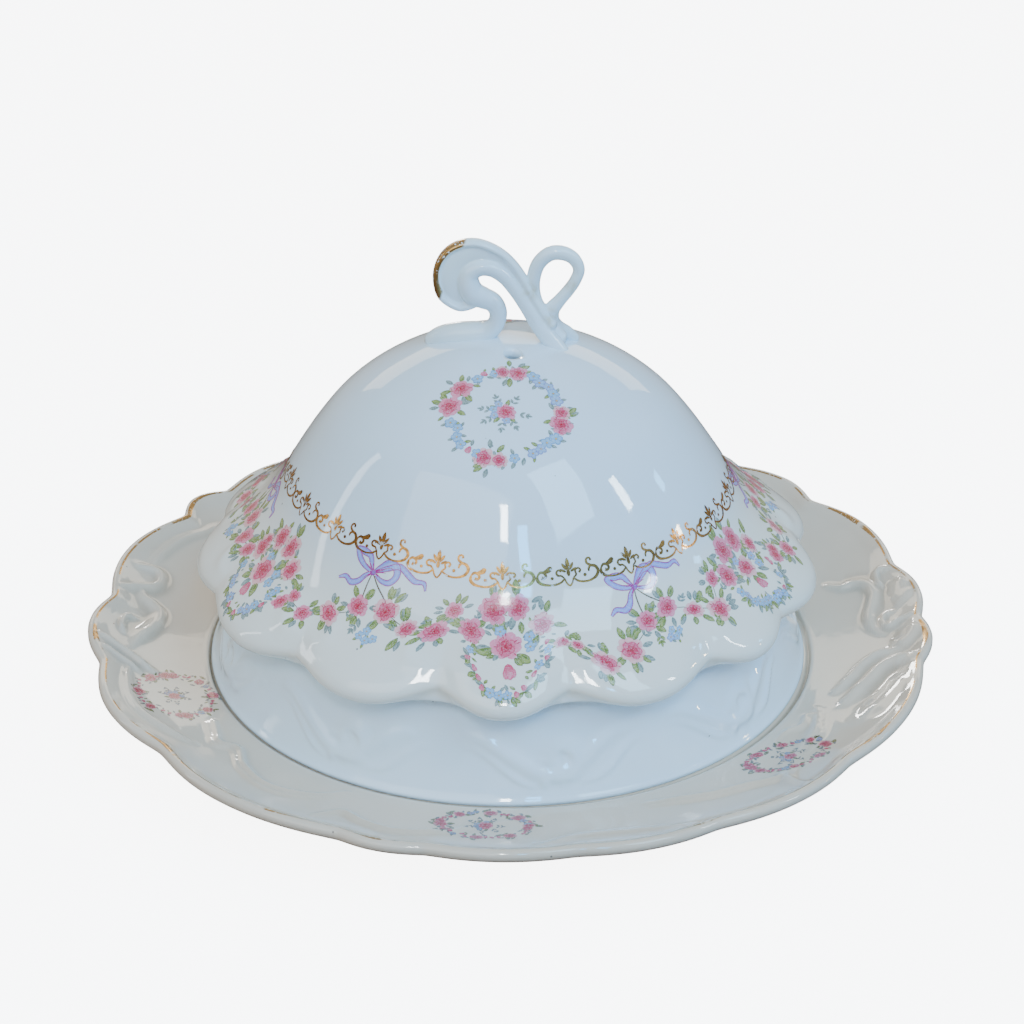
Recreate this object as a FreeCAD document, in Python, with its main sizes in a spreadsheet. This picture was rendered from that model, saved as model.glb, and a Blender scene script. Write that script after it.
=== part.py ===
"""Covered butter dish in porcelain: a scalloped dish, a pierced drainer, a domed cover and its handle.

Frame: +Z up, origin on the dish's axis at the plane that its foot ring stands on, millimetres.
"""

import FreeCAD, Part
import math
import os

import Sketcher
from FreeCAD import Placement, Rotation, Vector

# Driving dimensions, in mm unless the note says degrees or a count.
SIZES = {
    # dish
    "dish_radius": (103.0, "crown of every rim scallop"),
    "rim_notch_depth": (2.6, "how far a rim notch lies inside the crowns"),
    "rim_height": (17.5, "top of the rim above the table"),
    "rim_lip": (3.6, "thickness of the rolled rim"),
    "well_height": (6.5, "well floor above the table"),
    "well_wall": (3.7, "thickness of the well floor"),
    "well_step": (1.2, "depth of the recess that locates the cover"),
    "foot_radius": (63.0, "outside of the dish's foot ring"),
    "foot_width": (4.6, "width of the foot ring where it stands"),
    "foot_flare": (0.9, "how much wider the foot ring is at its root"),
    "dish_sweep": (95.0, "radius of the curve from the well up to the rim"),
    # cover
    "cover_radius": (73.7, "outside of the cover's foot"),
    "cover_gap": (1.6, "clearance between the cover's foot and the well's step"),
    "cover_wall": (3.0, "thickness of the cover's wall"),
    "cover_height": (81.5, "cover's foot to the top of the dome"),
    "dome_curve": (56.0, "radius of the dome's crown"),
    "dome_spread": (45.5, "radius where the crown turns into the straight flank"),
    "waist_radius": (54.2, "radius where the flank turns into the frill"),
    "waist_height": (45.5, "that place above the cover's foot"),
    "frill_radius": (74.8, "crown of every frill scallop"),
    "frill_notch_depth": (4.3, "how far a frill notch lies inside the crowns"),
    "frill_height": (24.6, "middle of the frill's edge above the cover's foot"),
    "frill_edge": (3.2, "thickness of the frill's edge"),
    "frill_curve": (60.0, "radius of the frill's hollow upper side"),
    "frill_count": (13, "scallops round the frill"),
    "frill_turn": (8.4, "degrees from +X to one of the frill's notches"),
    "neck_radius": (67.5, "outside of the cover's wall under the frill"),
    "neck_height": (24.0, "that place above the cover's foot"),
    "skirt_curve": (70.0, "radius of the hollow wall below the frill"),
    "vent_radius": (2.4, "vent hole near the top"),
    "vent_offset": (8.9, "vent hole's distance from the axis"),
    # drainer
    "drainer_radius": (50.0, "rim of the drainer"),
    "drainer_thickness": (3.2, "its plate"),
    "drainer_rim": (1.6, "how far its rim stands above the plate"),
    "drainer_rim_width": (3.0, "width of that rim"),
    "drainer_feet_height": (5.0, "its feet"),
    "drainer_foot_radius": (3.4, "each foot"),
    "drainer_foot_ring": (39.0, "distance of the feet from the axis"),
    "drain_hole_radius": (2.2, "each drain hole"),
    "drain_ring_inner": (14.0, "inner ring of drain holes"),
    "drain_ring_outer": (29.0, "outer ring of drain holes"),
    "drain_count_inner": (6, "holes in the inner ring"),
    "drain_count_outer": (12, "holes in the outer ring"),
    # handle
    "handle_width": (36.0, "left edge of the scroll to right edge of the loop"),
    "handle_rise": (23.6, "top of the dome to the top of the handle"),
    "band_radius": (2.7, "half the thickness of the scroll's outer band"),
    "curl_radius": (2.0, "half the thickness of the scroll's inner curl"),
    "loop_radius": (1.75, "half the thickness of the loop"),
}

# Degrees, counterclockwise from +X, of the notches between the rim's scallops, which are uneven.
RIM_NOTCHES = (-165, -141, -111, -100, -82, -64, -42, -15, -3, 12, 35, 51, 75, 100, 120, 141, 151, 177)

# Each strand of the handle as (x, y, z): x and y are shares of half the handle's width, z is a share of its
# rise above the dome's top. The strands start and end inside the dome's wall.
BAND = (
    (0.62, -0.10, -0.17),
    (0.46, -0.06, 0.10),
    (0.26, -0.02, 0.40),
    (0.00, 0.00, 0.70),
    (-0.33, 0.00, 0.885),
    (-0.66, 0.02, 0.80),
    (-0.84, 0.04, 0.54),
    (-0.72, 0.06, 0.28),
    (-0.47, 0.06, 0.20),
)
CURL = (
    (0.06, 0.00, 0.46),
    (-0.16, -0.04, 0.64),
    (-0.42, -0.06, 0.655),
    (-0.58, -0.06, 0.50),
    (-0.50, -0.04, 0.32),
    (-0.27, -0.03, 0.25),
    (-0.10, -0.02, 0.12),
    (-0.13, -0.02, -0.03),
    (-0.34, -0.02, -0.17),
)
LOOP = (
    (0.70, -0.04, -0.18),
    (0.44, -0.04, 0.12),
    (0.29, -0.03, 0.42),
    (0.33, 0.00, 0.70),
    (0.50, 0.03, 0.845),
    (0.74, 0.06, 0.82),
    (0.86, 0.08, 0.66),
    (0.74, 0.10, 0.42),
    (0.56, 0.12, 0.20),
    (0.60, 0.18, 0.00),
    (0.74, 0.24, -0.20),
)

# Radius of a rounded edge over half its thickness; at 1 a sketch could not tell the edge's two sides apart.
EDGE_FULLNESS = 1.08

doc = FreeCAD.newDocument("ButterDish")
sheet = doc.addObject("Spreadsheet::Sheet", "Sizes")


class Size:
    """A number with the expression that gives it, so that a sketch starts where its constraints put it."""

    def __init__(self, value, text):
        self.value = float(value)
        self.text = text

    @staticmethod
    def of(other):
        return other if isinstance(other, Size) else Size(other, repr(float(other)))

    def __add__(self, other):
        other = Size.of(other)
        return Size(self.value + other.value, f"({self.text} + {other.text})")

    def __sub__(self, other):
        other = Size.of(other)
        return Size(self.value - other.value, f"({self.text} - {other.text})")

    def __rsub__(self, other):
        return Size.of(other) - self

    def __mul__(self, other):
        other = Size.of(other)
        return Size(self.value * other.value, f"({self.text} * {other.text})")

    def __truediv__(self, other):
        other = Size.of(other)
        return Size(self.value / other.value, f"({self.text} / {other.text})")

    def __rtruediv__(self, other):
        return Size.of(other) / self

    __radd__ = __add__
    __rmul__ = __mul__

    def root(self):
        return Size(math.sqrt(self.value), f"sqrt({self.text})")


def sine(angle):
    angle = Size.of(angle)
    return Size(math.sin(math.radians(angle.value)), f"sin({angle.text})")


def cosine(angle):
    angle = Size.of(angle)
    return Size(math.cos(math.radians(angle.value)), f"cos({angle.text})")


def fill_sheet():
    """Writes the driving dimensions and returns them as Sizes."""
    found = {}
    for row, (name, (value, note)) in enumerate(SIZES.items(), start=1):
        sheet.set(f"A{row}", name)
        sheet.set(f"B{row}", str(value))
        sheet.set(f"C{row}", note)
        sheet.setAlias(f"B{row}", name)
        found[name] = Size(value, f"Sizes.{name}")
    doc.recompute()
    return found


def plane(body, role):
    """One of a body's own origin planes or axes."""
    return next(f for f in body.Origin.OriginFeatures if f.Role == role)


def new_body(label):
    body = doc.addObject("PartDesign::Body", label)
    body.Label = label
    return body


def new_sketch(body, name, role, height=None):
    """A sketch on an origin plane of the body, lifted by height along that plane's normal."""
    sketch = body.newObject("Sketcher::SketchObject", name)
    sketch.AttachmentSupport = (plane(body, role), [""])
    sketch.MapMode = "FlatFace"
    if height is not None:
        sketch.AttachmentOffset = Placement(Vector(0, 0, height.value), Rotation())
        sketch.setExpression("AttachmentOffset.Base.z", height.text)
    return sketch


def bind(sketch, constraint, size, name):
    """Adds a dimension to a sketch and ties it to its expression."""
    index = sketch.addConstraint(constraint)
    sketch.renameConstraint(index, name)
    sketch.setExpression(f"Constraints.{name}", size.text)


def arc_between(start, end, radius, side):
    """(counterclockwise arc, True if it runs from start to end); its middle is to the left if side is 1."""
    chord = end - start
    half = chord.Length / 2
    across = Vector(-chord.y, chord.x, 0).normalize()
    centre = (start + end) * 0.5 - across * side * math.sqrt(max(radius**2 - half**2, 0))
    forward = side < 0
    first, last = (start, end) if forward else (end, start)
    turn_0 = math.atan2(first.y - centre.y, first.x - centre.x)
    turn_1 = math.atan2(last.y - centre.y, last.x - centre.x)
    if turn_1 < turn_0:
        turn_1 += 2 * math.pi
    circle = Part.Circle(centre, Vector(0, 0, 1), radius)
    return Part.ArcOfCircle(circle, turn_0, turn_1), forward


def outline(sketch, corners):
    """Draws a closed outline: corners (x, y), each followed by (radius, side) if an arc leaves it."""
    places = [Vector(c[0].value, c[1].value, 0) for c in corners]
    ends = []
    for k, corner in enumerate(corners):
        start, end = places[k], places[(k + 1) % len(places)]
        if len(corner) > 2:
            radius, side = corner[2:]
            arc, forward = arc_between(start, end, radius.value, side)
            edge = sketch.addGeometry(arc, False)
            ends.append((edge, 1, 2) if forward else (edge, 2, 1))
        else:
            ends.append((sketch.addGeometry(Part.LineSegment(start, end), False), 1, 2))
    for k, (edge, start, _) in enumerate(ends):
        before, _, before_end = ends[k - 1]
        sketch.addConstraint(Sketcher.Constraint("Coincident", before, before_end, edge, start))
    for k, (corner, (edge, start, _)) in enumerate(zip(corners, ends)):
        x, y = corner[:2]
        if abs(x.value) < 1e-9:
            sketch.addConstraint(Sketcher.Constraint("PointOnObject", edge, start, -2))
        else:
            bind(sketch, Sketcher.Constraint("DistanceX", -1, 1, edge, start, x.value), x, f"x_{k}")
        bind(sketch, Sketcher.Constraint("DistanceY", -1, 1, edge, start, y.value), y, f"y_{k}")
        if len(corner) > 2:
            bind(sketch, Sketcher.Constraint("Radius", edge, corner[2].value), corner[2], f"radius_{k}")


def circle(sketch, x, y, radius, name):
    """Draws a circle whose centre and radius follow their expressions."""
    shape = Part.Circle(Vector(x.value, y.value, 0), Vector(0, 0, 1), radius.value)
    edge = sketch.addGeometry(shape, False)
    bind(sketch, Sketcher.Constraint("Radius", edge, radius.value), radius, f"{name}_radius")
    for kind, size in (("DistanceX", x), ("DistanceY", y)):
        if abs(size.value) < 1e-9:
            axis = -2 if kind == "DistanceX" else -1
            sketch.addConstraint(Sketcher.Constraint("PointOnObject", edge, 3, axis))
        else:
            bind(sketch, Sketcher.Constraint(kind, -1, 1, edge, 3, size.value), size, f"{name}_{kind}")


def revolve(body, sketch):
    """Turns a section, drawn in the XZ plane, once round the Z axis."""
    feature = body.newObject("PartDesign::Revolution", f"{sketch.Name}_turned")
    feature.Profile = sketch
    feature.ReferenceAxis = (sketch, ["V_Axis"])
    feature.Angle = 360
    doc.recompute()
    return feature


def cut(body, sketch, length, upwards):
    """Cuts a sketch into the body over a length, and checks that it took something away."""
    before = body.Shape.Volume
    feature = body.newObject("PartDesign::Pocket", f"{sketch.Name}_cut")
    feature.Profile = sketch
    feature.Length = length.value
    feature.setExpression("Length", length.text)
    feature.Reversed = upwards
    doc.recompute()
    if body.Shape.Volume >= before - 1:
        raise RuntimeError(f"{feature.Name} cut nothing")
    return feature


def repeat(body, feature, count):
    """Repeats a feature evenly round the Z axis."""
    pattern = body.newObject("PartDesign::PolarPattern", f"{feature.Name}_ring")
    pattern.Originals = [feature]
    pattern.Axis = (plane(body, "Z_Axis"), [""])
    pattern.Angle = 360
    pattern.Occurrences = int(count.value)
    pattern.setExpression("Occurrences", count.text)
    body.Tip = pattern
    doc.recompute()
    return pattern


def scallop_radius(notch, crown, width):
    """Radius of the arc between two notches width degrees apart whose middle touches the crown circle."""
    half = notch * sine(width / 2)
    rise = crown - notch * cosine(width / 2)
    return (half * half + rise * rise) / (2 * rise)


def around(radius, angle):
    return radius * cosine(angle), radius * sine(angle)


def build_dish(s):
    """The dish: a round well with a locating step, a rising border with a scalloped edge, and a foot ring."""
    body = new_body("dish")
    section = new_sketch(body, "dish_section", "XZ_Plane")
    well_radius = s["cover_radius"] + s["cover_gap"]
    under_floor = s["well_height"] - s["well_wall"]
    step_top = s["well_height"] + s["well_step"]
    lip_inside = s["dish_radius"] - s["rim_lip"] / 2
    lip_bottom = s["rim_height"] - s["rim_lip"]
    foot_inside = s["foot_radius"] - s["foot_width"]
    outline(
        section,
        [
            (Size.of(0), s["well_height"]),
            (Size.of(0), under_floor),
            (foot_inside - s["foot_flare"], under_floor),
            (foot_inside, Size.of(0)),
            (s["foot_radius"], Size.of(0)),
            (s["foot_radius"] + s["foot_flare"], under_floor, s["dish_sweep"], -1),
            (lip_inside, lip_bottom, s["rim_lip"] / 2 * EDGE_FULLNESS, -1),
            (lip_inside, s["rim_height"], s["dish_sweep"] - s["rim_lip"], 1),
            (well_radius + s["well_step"], step_top),
            (well_radius, s["well_height"]),
        ],
    )
    revolve(body, section)
    cutter = new_sketch(body, "rim_scallops", "XY_Plane")
    notch = s["dish_radius"] - s["rim_notch_depth"]
    corners = []
    for k, angle in enumerate(RIM_NOTCHES):
        after = RIM_NOTCHES[(k + 1) % len(RIM_NOTCHES)]
        width = (after - angle) % 360
        corners.append((*around(notch, angle), scallop_radius(notch, s["dish_radius"], Size.of(width)), -1))
    outline(cutter, corners)
    circle(cutter, Size.of(0), Size.of(0), s["dish_radius"] * 2, "outside")
    cut(body, cutter, s["rim_height"] * 2, True)
    return body


def build_cover(s):
    """The cover: a domed bell whose frill overhangs the hollow wall that stands in the dish."""
    body = new_body("cover")
    section = new_sketch(body, "cover_section", "XZ_Plane")
    foot = s["well_height"]
    top = foot + s["cover_height"]
    wall = s["cover_wall"]
    curve, spread = s["dome_curve"], s["dome_spread"]
    crown_drop = curve - (curve * curve - spread * spread).root()
    flank_top = top - crown_drop
    waist = foot + s["waist_height"]
    edge = foot + s["frill_height"]
    neck = foot + s["neck_height"]
    flank_out = s["dome_curve"] - wall
    shrink = flank_out / s["dome_curve"]
    inner_spread = s["dome_spread"] * shrink
    inner_drop = crown_drop * shrink + wall
    half_edge = s["frill_edge"] / 2
    edge_round = half_edge * EDGE_FULLNESS
    edge_in = s["frill_radius"] - half_edge
    outline(
        section,
        [
            (Size.of(0), top - wall, flank_out, 1),
            (inner_spread, top - inner_drop),
            (s["waist_radius"] - wall, waist - wall * 0.5),
            (s["neck_radius"] - wall, neck, s["skirt_curve"] + wall, -1),
            (s["cover_radius"] - wall, foot),
            (s["cover_radius"], foot, s["skirt_curve"], 1),
            (s["neck_radius"], neck),
            (edge_in, edge - half_edge, edge_round, -1),
            (edge_in, edge + half_edge, s["frill_curve"], 1),
            (s["waist_radius"], waist),
            (s["dome_spread"], flank_top, s["dome_curve"], -1),
            (Size.of(0), top),
        ],
    )
    revolve(body, section)

    scallops = new_sketch(body, "frill_scallops", "XY_Plane", (neck + foot) / 2)
    notch = s["frill_radius"] - s["frill_notch_depth"]
    width = 360 / s["frill_count"]
    beyond = s["frill_radius"] * 1.3
    first = s["frill_turn"]
    # What one scallop leaves between two notches, closed by a line beyond the crowns.
    outline(
        scallops,
        [
            (*around(beyond, first),),
            (*around(beyond, first + width),),
            (*around(notch, first + width), scallop_radius(notch, s["frill_radius"], width), 1),
            (*around(notch, first),),
        ],
    )
    frill = cut(body, scallops, s["waist_height"], True)
    repeat(body, frill, s["frill_count"])

    vent = new_sketch(body, "vent", "XY_Plane", top + wall)
    circle(vent, Size.of(0), s["vent_offset"] * -1, s["vent_radius"], "vent")
    cut(body, vent, s["dome_curve"] / 2, False)
    return body


def build_drainer(s):
    """The drainer: a low-rimmed round plate on three feet, pierced for melt water, loose in the well."""
    body = new_body("drainer")
    section = new_sketch(body, "drainer_section", "XZ_Plane")
    underside = s["well_height"] + s["drainer_feet_height"]
    top = underside + s["drainer_thickness"]
    rim_inside = s["drainer_radius"] - s["drainer_rim_width"]
    outline(
        section,
        [
            (Size.of(0), top),
            (Size.of(0), underside),
            (s["drainer_radius"] - s["drainer_rim"], underside),
            (s["drainer_radius"], underside + s["drainer_rim"]),
            (s["drainer_radius"], top + s["drainer_rim"]),
            (rim_inside + s["drainer_rim"], top + s["drainer_rim"]),
            (rim_inside, top),
        ],
    )
    revolve(body, section)

    feet = new_sketch(body, "feet", "XY_Plane", s["well_height"])
    for k in range(3):
        x, y = around(s["drainer_foot_ring"], 90 + 120 * k)
        circle(feet, x, y, s["drainer_foot_radius"], f"foot_{k}")
    pad = body.newObject("PartDesign::Pad", "feet_raised")
    pad.Profile = feet
    pad.Length = s["drainer_feet_height"].value
    pad.setExpression("Length", s["drainer_feet_height"].text)
    doc.recompute()

    middle = new_sketch(body, "middle_drain", "XY_Plane", top)
    circle(middle, Size.of(0), Size.of(0), s["drain_hole_radius"], "hole")
    cut(body, middle, s["drainer_thickness"] + s["drainer_feet_height"], False)
    for name, ring, count in (
        ("inner_drains", s["drain_ring_inner"], s["drain_count_inner"]),
        ("outer_drains", s["drain_ring_outer"], s["drain_count_outer"]),
    ):
        sketch = new_sketch(body, name, "XY_Plane", top)
        circle(sketch, ring, Size.of(0), s["drain_hole_radius"], "hole")
        hole = cut(body, sketch, s["drainer_thickness"] + s["drainer_feet_height"], False)
        repeat(body, hole, count)
    return body


def strand(points, thickness, s):
    """A round strand along a smooth curve through the points."""
    half_width = s["handle_width"].value / 2
    base = s["well_height"].value + s["cover_height"].value
    places = [Vector(x * half_width, y * half_width, base + z * s["handle_rise"].value) for x, y, z in points]
    curve = Part.BSplineCurve()
    curve.interpolate(places)
    along = curve.tangent(curve.FirstParameter)[0]
    ring = Part.Wire([Part.Circle(places[0], along, thickness).toShape()])
    return Part.Wire([curve.toShape()]).makePipeShell([ring], True, False)


def shaped(label, shape):
    """A sub-part whose free-form shape is made directly."""
    piece = doc.addObject("Part::Feature", label)
    piece.Label = label
    piece.Shape = shape
    return piece


def dome_core(s):
    """Everything inside the dome's outer surface near its top, which the handle is fitted to."""
    top = s["well_height"].value + s["cover_height"].value
    radius = s["dome_curve"].value
    return Part.makeSphere(radius, Vector(0, 0, top - radius))


def build_handle(s):
    """The handle's two castings, joined to the dome and to each other with slip: the scroll and the loop."""
    core = dome_core(s)
    scroll = strand(BAND, s["band_radius"].value, s).fuse(strand(CURL, s["curl_radius"].value, s)).cut(core)
    loop = strand(LOOP, s["loop_radius"].value, s).cut(core).cut(scroll)
    return [shaped("handle_scroll", largest(scroll)), shaped("handle_loop", largest(loop))]


def largest(shape):
    """A shape's largest solid, which drops the crumbs that a cut leaves inside a joint."""
    return max(shape.Solids, key=lambda solid: solid.Volume)


def check(pieces):
    """Stops if any object failed, or if a sub-part's shape is empty or broken."""
    doc.recompute()
    for item in doc.Objects:
        if {"Invalid", "Error"} & set(item.State):
            raise RuntimeError(f"{item.Name} failed: {item.State}")
    for piece in pieces:
        if piece.Shape.isNull() or not piece.Shape.isValid():
            raise RuntimeError(f"{piece.Label} has no valid shape")


def main():
    sizes = fill_sheet()
    pieces = [build_dish(sizes), build_drainer(sizes), build_cover(sizes), *build_handle(sizes)]
    check(pieces)
    os.makedirs("parts", exist_ok=True)
    for piece in pieces:
        piece.Shape.exportStep(os.path.join("parts", f"{piece.Label}.step"))
        print(piece.Label, len(piece.Shape.Solids), "solid,", round(piece.Shape.Volume / 1000, 1), "ml")


main()
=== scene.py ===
import math

import bpy
import numpy as np
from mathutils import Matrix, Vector


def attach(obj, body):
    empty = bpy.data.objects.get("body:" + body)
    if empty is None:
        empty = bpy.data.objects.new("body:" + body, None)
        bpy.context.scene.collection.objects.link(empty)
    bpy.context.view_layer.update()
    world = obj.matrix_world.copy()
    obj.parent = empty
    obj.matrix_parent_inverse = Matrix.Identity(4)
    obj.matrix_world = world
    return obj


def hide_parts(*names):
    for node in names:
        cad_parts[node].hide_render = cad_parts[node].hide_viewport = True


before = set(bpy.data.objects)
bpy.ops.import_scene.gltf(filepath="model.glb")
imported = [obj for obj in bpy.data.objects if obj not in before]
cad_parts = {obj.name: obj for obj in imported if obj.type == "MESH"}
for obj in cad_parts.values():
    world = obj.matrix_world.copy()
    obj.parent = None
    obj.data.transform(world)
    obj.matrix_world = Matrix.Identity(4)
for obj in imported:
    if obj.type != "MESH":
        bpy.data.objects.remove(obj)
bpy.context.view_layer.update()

# Lengths are millimetres until a mesh is made. Angles are degrees from +X towards +Y; the front is at -90.
MM = 0.001
TAU = 2 * math.pi


# ---- curves and meshes ----


def hermite(points, counts):
    # A smooth curve through the points, counts[i] steps to the next one; chord lengths set its tangents.
    p = np.array(points, float)
    h = np.linalg.norm(np.diff(p, axis=0), axis=1)[:, None]
    slope = np.diff(p, axis=0) / h
    tangent = np.vstack([slope[:1], (slope[:-1] * h[1:] + slope[1:] * h[:-1]) / (h[1:] + h[:-1]), slope[-1:]])
    out = []
    for i, n in enumerate(counts):
        t = np.linspace(0, 1, n, endpoint=False)[:, None]
        a, b = 2 * t**3 - 3 * t**2 + 1, t**3 - 2 * t**2 + t
        c, d = 3 * t**2 - 2 * t**3, t**3 - t**2
        out.append(a * p[i] + b * h[i] * tangent[i] + c * p[i + 1] + d * h[i] * tangent[i + 1])
    return np.vstack([*out, p[-1:]])


def evenly(path, step):
    # The same curve in steps of even length.
    length = np.concatenate([[0], np.cumsum(np.linalg.norm(np.diff(path, axis=0), axis=1))])
    at = np.linspace(0, length[-1], max(3, int(length[-1] / step) + 1))
    return np.stack([np.interp(at, length, path[:, k]) for k in range(path.shape[1])], 1)


def stroke(points, step=0.3):
    return evenly(hermite(points, [16] * (len(points) - 1)), step)


def unit(v):
    return v / np.maximum(np.linalg.norm(v, axis=-1, keepdims=True), 1e-12)


def makeMesh(name, verts, quads, tris, values=None, colours=None, normals=None):
    # One object from arrays: values are its float attributes, colours its one colour attribute.
    mesh = bpy.data.meshes.new(name)
    mesh.from_pydata((verts * MM).tolist(), [], quads.tolist() + tris.tolist())
    mesh.validate()
    mesh.polygons.foreach_set("use_smooth", np.ones(len(mesh.polygons), bool))
    for key, value in (values or {}).items():
        data = mesh.attributes.new(key, "FLOAT", "POINT").data
        data.foreach_set("value", value.astype(np.float32).ravel())
    if colours is not None:
        data = mesh.color_attributes.new("tint", "FLOAT_COLOR", "POINT").data
        data.foreach_set("color", colours.astype(np.float32).ravel())
    if normals is not None:
        mesh.normals_split_custom_set_from_vertices(normals.astype(np.float32))
    made = bpy.data.objects.new(name, mesh)
    bpy.context.scene.collection.objects.link(made)
    return made


def ringIndices(rows, cols, start=0):
    # Faces (quads, tris) of a closed skin of rings; its two end vertices come after the rings' own.
    i = np.arange(rows - 1)[:, None] * cols
    j = np.arange(cols)[None, :]
    k = (j + 1) % cols
    quads = np.stack([i + j, i + cols + j, i + cols + k, i + k], -1).reshape(-1, 4)
    j, k = j.ravel(), k.ravel()
    first, last, base = rows * cols, rows * cols + 1, (rows - 1) * cols
    caps = [(np.full(cols, first), j, k), (np.full(cols, last), base + k, base + j)]
    tris = np.vstack([np.stack(cap, 1) for cap in caps])
    return quads + start, tris + start


def ringSolid(name, rings, first, last, values=None):
    rows, cols = rings.shape[:2]
    quads, tris = ringIndices(rows, cols)
    verts = np.vstack([rings.reshape(-1, 3), [first], [last]])
    for key, v in (values or {}).items():
        values[key] = np.concatenate([v.ravel(), [v[0].mean(), v[-1].mean()]])
    return makeMesh(name, verts, quads, tris, values)


def wrap(degrees):
    return (degrees + 180) % 360 - 180


def nearest(a, b, line):
    # Distance from every point (a, b) to the nearest point of a line, and that point's index.
    best, which = np.full(a.shape, 1e9, np.float32), np.zeros(a.shape, np.int32)
    for i, (x, y) in enumerate(line.astype(np.float32)):
        d = (a - x) ** 2 + (b - y) ** 2
        closer = d < best
        best[closer], which[closer] = d[closer], i
    return np.sqrt(best), which


def smoothStep(low, high, x):
    t = np.clip((x - low) / (high - low), 0, 1)
    return t * t * (3 - 2 * t)


class Skin:
    # A thrown surface: a profile turned round the axis, then moved by scallops and relief.
    def __init__(self, profile, counts, shape):
        finer = 40
        fine = hermite(profile, [finer * n for n in counts])
        self.length = np.concatenate([[0], np.cumsum(np.linalg.norm(np.diff(fine, axis=0), axis=1))])
        self.fine, self.shape = fine, shape
        self.knots = self.length[np.concatenate([[0], np.cumsum(counts)]) * finer]
        self.rowAt = self.length[::finer]

    def base(self, s):
        return np.interp(s, self.length, self.fine[:, 0]), np.interp(s, self.length, self.fine[:, 1])

    def point(self, theta, s):
        r, z = self.base(s)
        return self.shape(theta, s, r, z)

    def lifted(self, theta, s, lift):
        # Points lift millimetres above the surface, and the surface's normals there.
        p = self.point(theta, s)
        d = 0.25
        r = np.maximum(np.hypot(p[..., 0], p[..., 1]), 1)
        turn = np.degrees(d / r)
        along = self.point(theta, s + d) - self.point(theta, s - d)
        across = self.point(theta + turn, s) - self.point(theta - turn, s)
        normal = unit(np.cross(along, across))
        return p + normal * np.asarray(lift)[..., None], normal

    def around(self, angle, s):
        # A flat chart wrapped round the surface: x runs with the angle, y towards the profile's start.
        def chart(x, y):
            r, _ = self.base(s - y)
            return angle + np.degrees(x / r), s - y

        return chart


def turned(theta, r, z):
    a = np.radians(theta)
    return np.stack([r * np.cos(a), r * np.sin(a), z], -1)


# ---- shader maths ----


class Value:
    # A shader value that takes part in arithmetic.
    def __init__(self, graph, socket):
        self.graph, self.socket = graph, socket

    def op(self, name, *others):
        return self.graph.node("Math", {"operation": name}, [self, *others])

    def __add__(self, other):
        return self.op("ADD", other)

    def __mul__(self, other):
        return self.op("MULTIPLY", other)

    def __sub__(self, other):
        return self.op("SUBTRACT", other)

    def __rsub__(self, other):
        return self * -1 + other

    __radd__ = __add__
    __rmul__ = __mul__

    def ramp(self, low, high, a=0.0, b=1.0):
        settings = {"interpolation_type": "SMOOTHSTEP"}
        return self.graph.node("MapRange", settings, [self, low, high, a, b])


class Graph:
    # The shader nodes of a material or a world.
    def __init__(self, owner):
        owner.use_nodes = True
        self.owner, self.tree = owner, owner.node_tree
        self.tree.nodes.clear()

    def node(self, kind, settings=None, inputs=(), output=0):
        made = self.tree.nodes.new("ShaderNode" + kind)
        for key, value in (settings or {}).items():
            setattr(made, key, value)
        items = inputs.items() if isinstance(inputs, dict) else enumerate(inputs)
        for key, value in items:
            if isinstance(value, Value):
                self.tree.links.new(value.socket, made.inputs[key])
            else:
                made.inputs[key].default_value = value
        return Value(self, made.outputs[output]) if made.outputs else None

    def mix(self, factor, a, b):
        def colour(c):
            return c if isinstance(c, Value) else (*c, 1)

        return self.node("Mix", {"data_type": "RGBA"}, {0: factor, 6: colour(a), 7: colour(b)}, 2)

    def attribute(self, name, output="Fac"):
        return self.node("Attribute", {"attribute_name": name}, output=output)

    def place(self):
        return self.node("TexCoord", output="Object")

    def axes(self, names):
        return [self.node("SeparateXYZ", None, [self.place()], name) for name in names]

    def noise(self, scale, detail=2.0):
        return self.node("TexNoise", None, {"Vector": self.place(), "Scale": scale, "Detail": detail}, "Fac")

    def surface(self, inputs):
        shader = self.node("BsdfPrincipled", None, inputs)
        self.node("OutputMaterial", None, [shader])
        return self.owner


porcelainLook = {
    "bright": (0.74, 0.90, 1.0),
    "cloud": (0.70, 0.87, 0.98),
    # pooled glaze mixed with painted shade in hollows and under the frill
    "pooledAndShaded": (0.50, 0.60, 0.68),
    "grime": (0.30, 0.25, 0.17),
    # a painted shadow in the gap round the cover's foot
    "seamShadow": (0.09, 0.075, 0.06),
    "stain": (0.56, 0.46, 0.24),
    "speck": (0.10, 0.08, 0.07),
    "gold": (0.50, 0.31, 0.11),
    "rough": 0.03,
}


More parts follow.
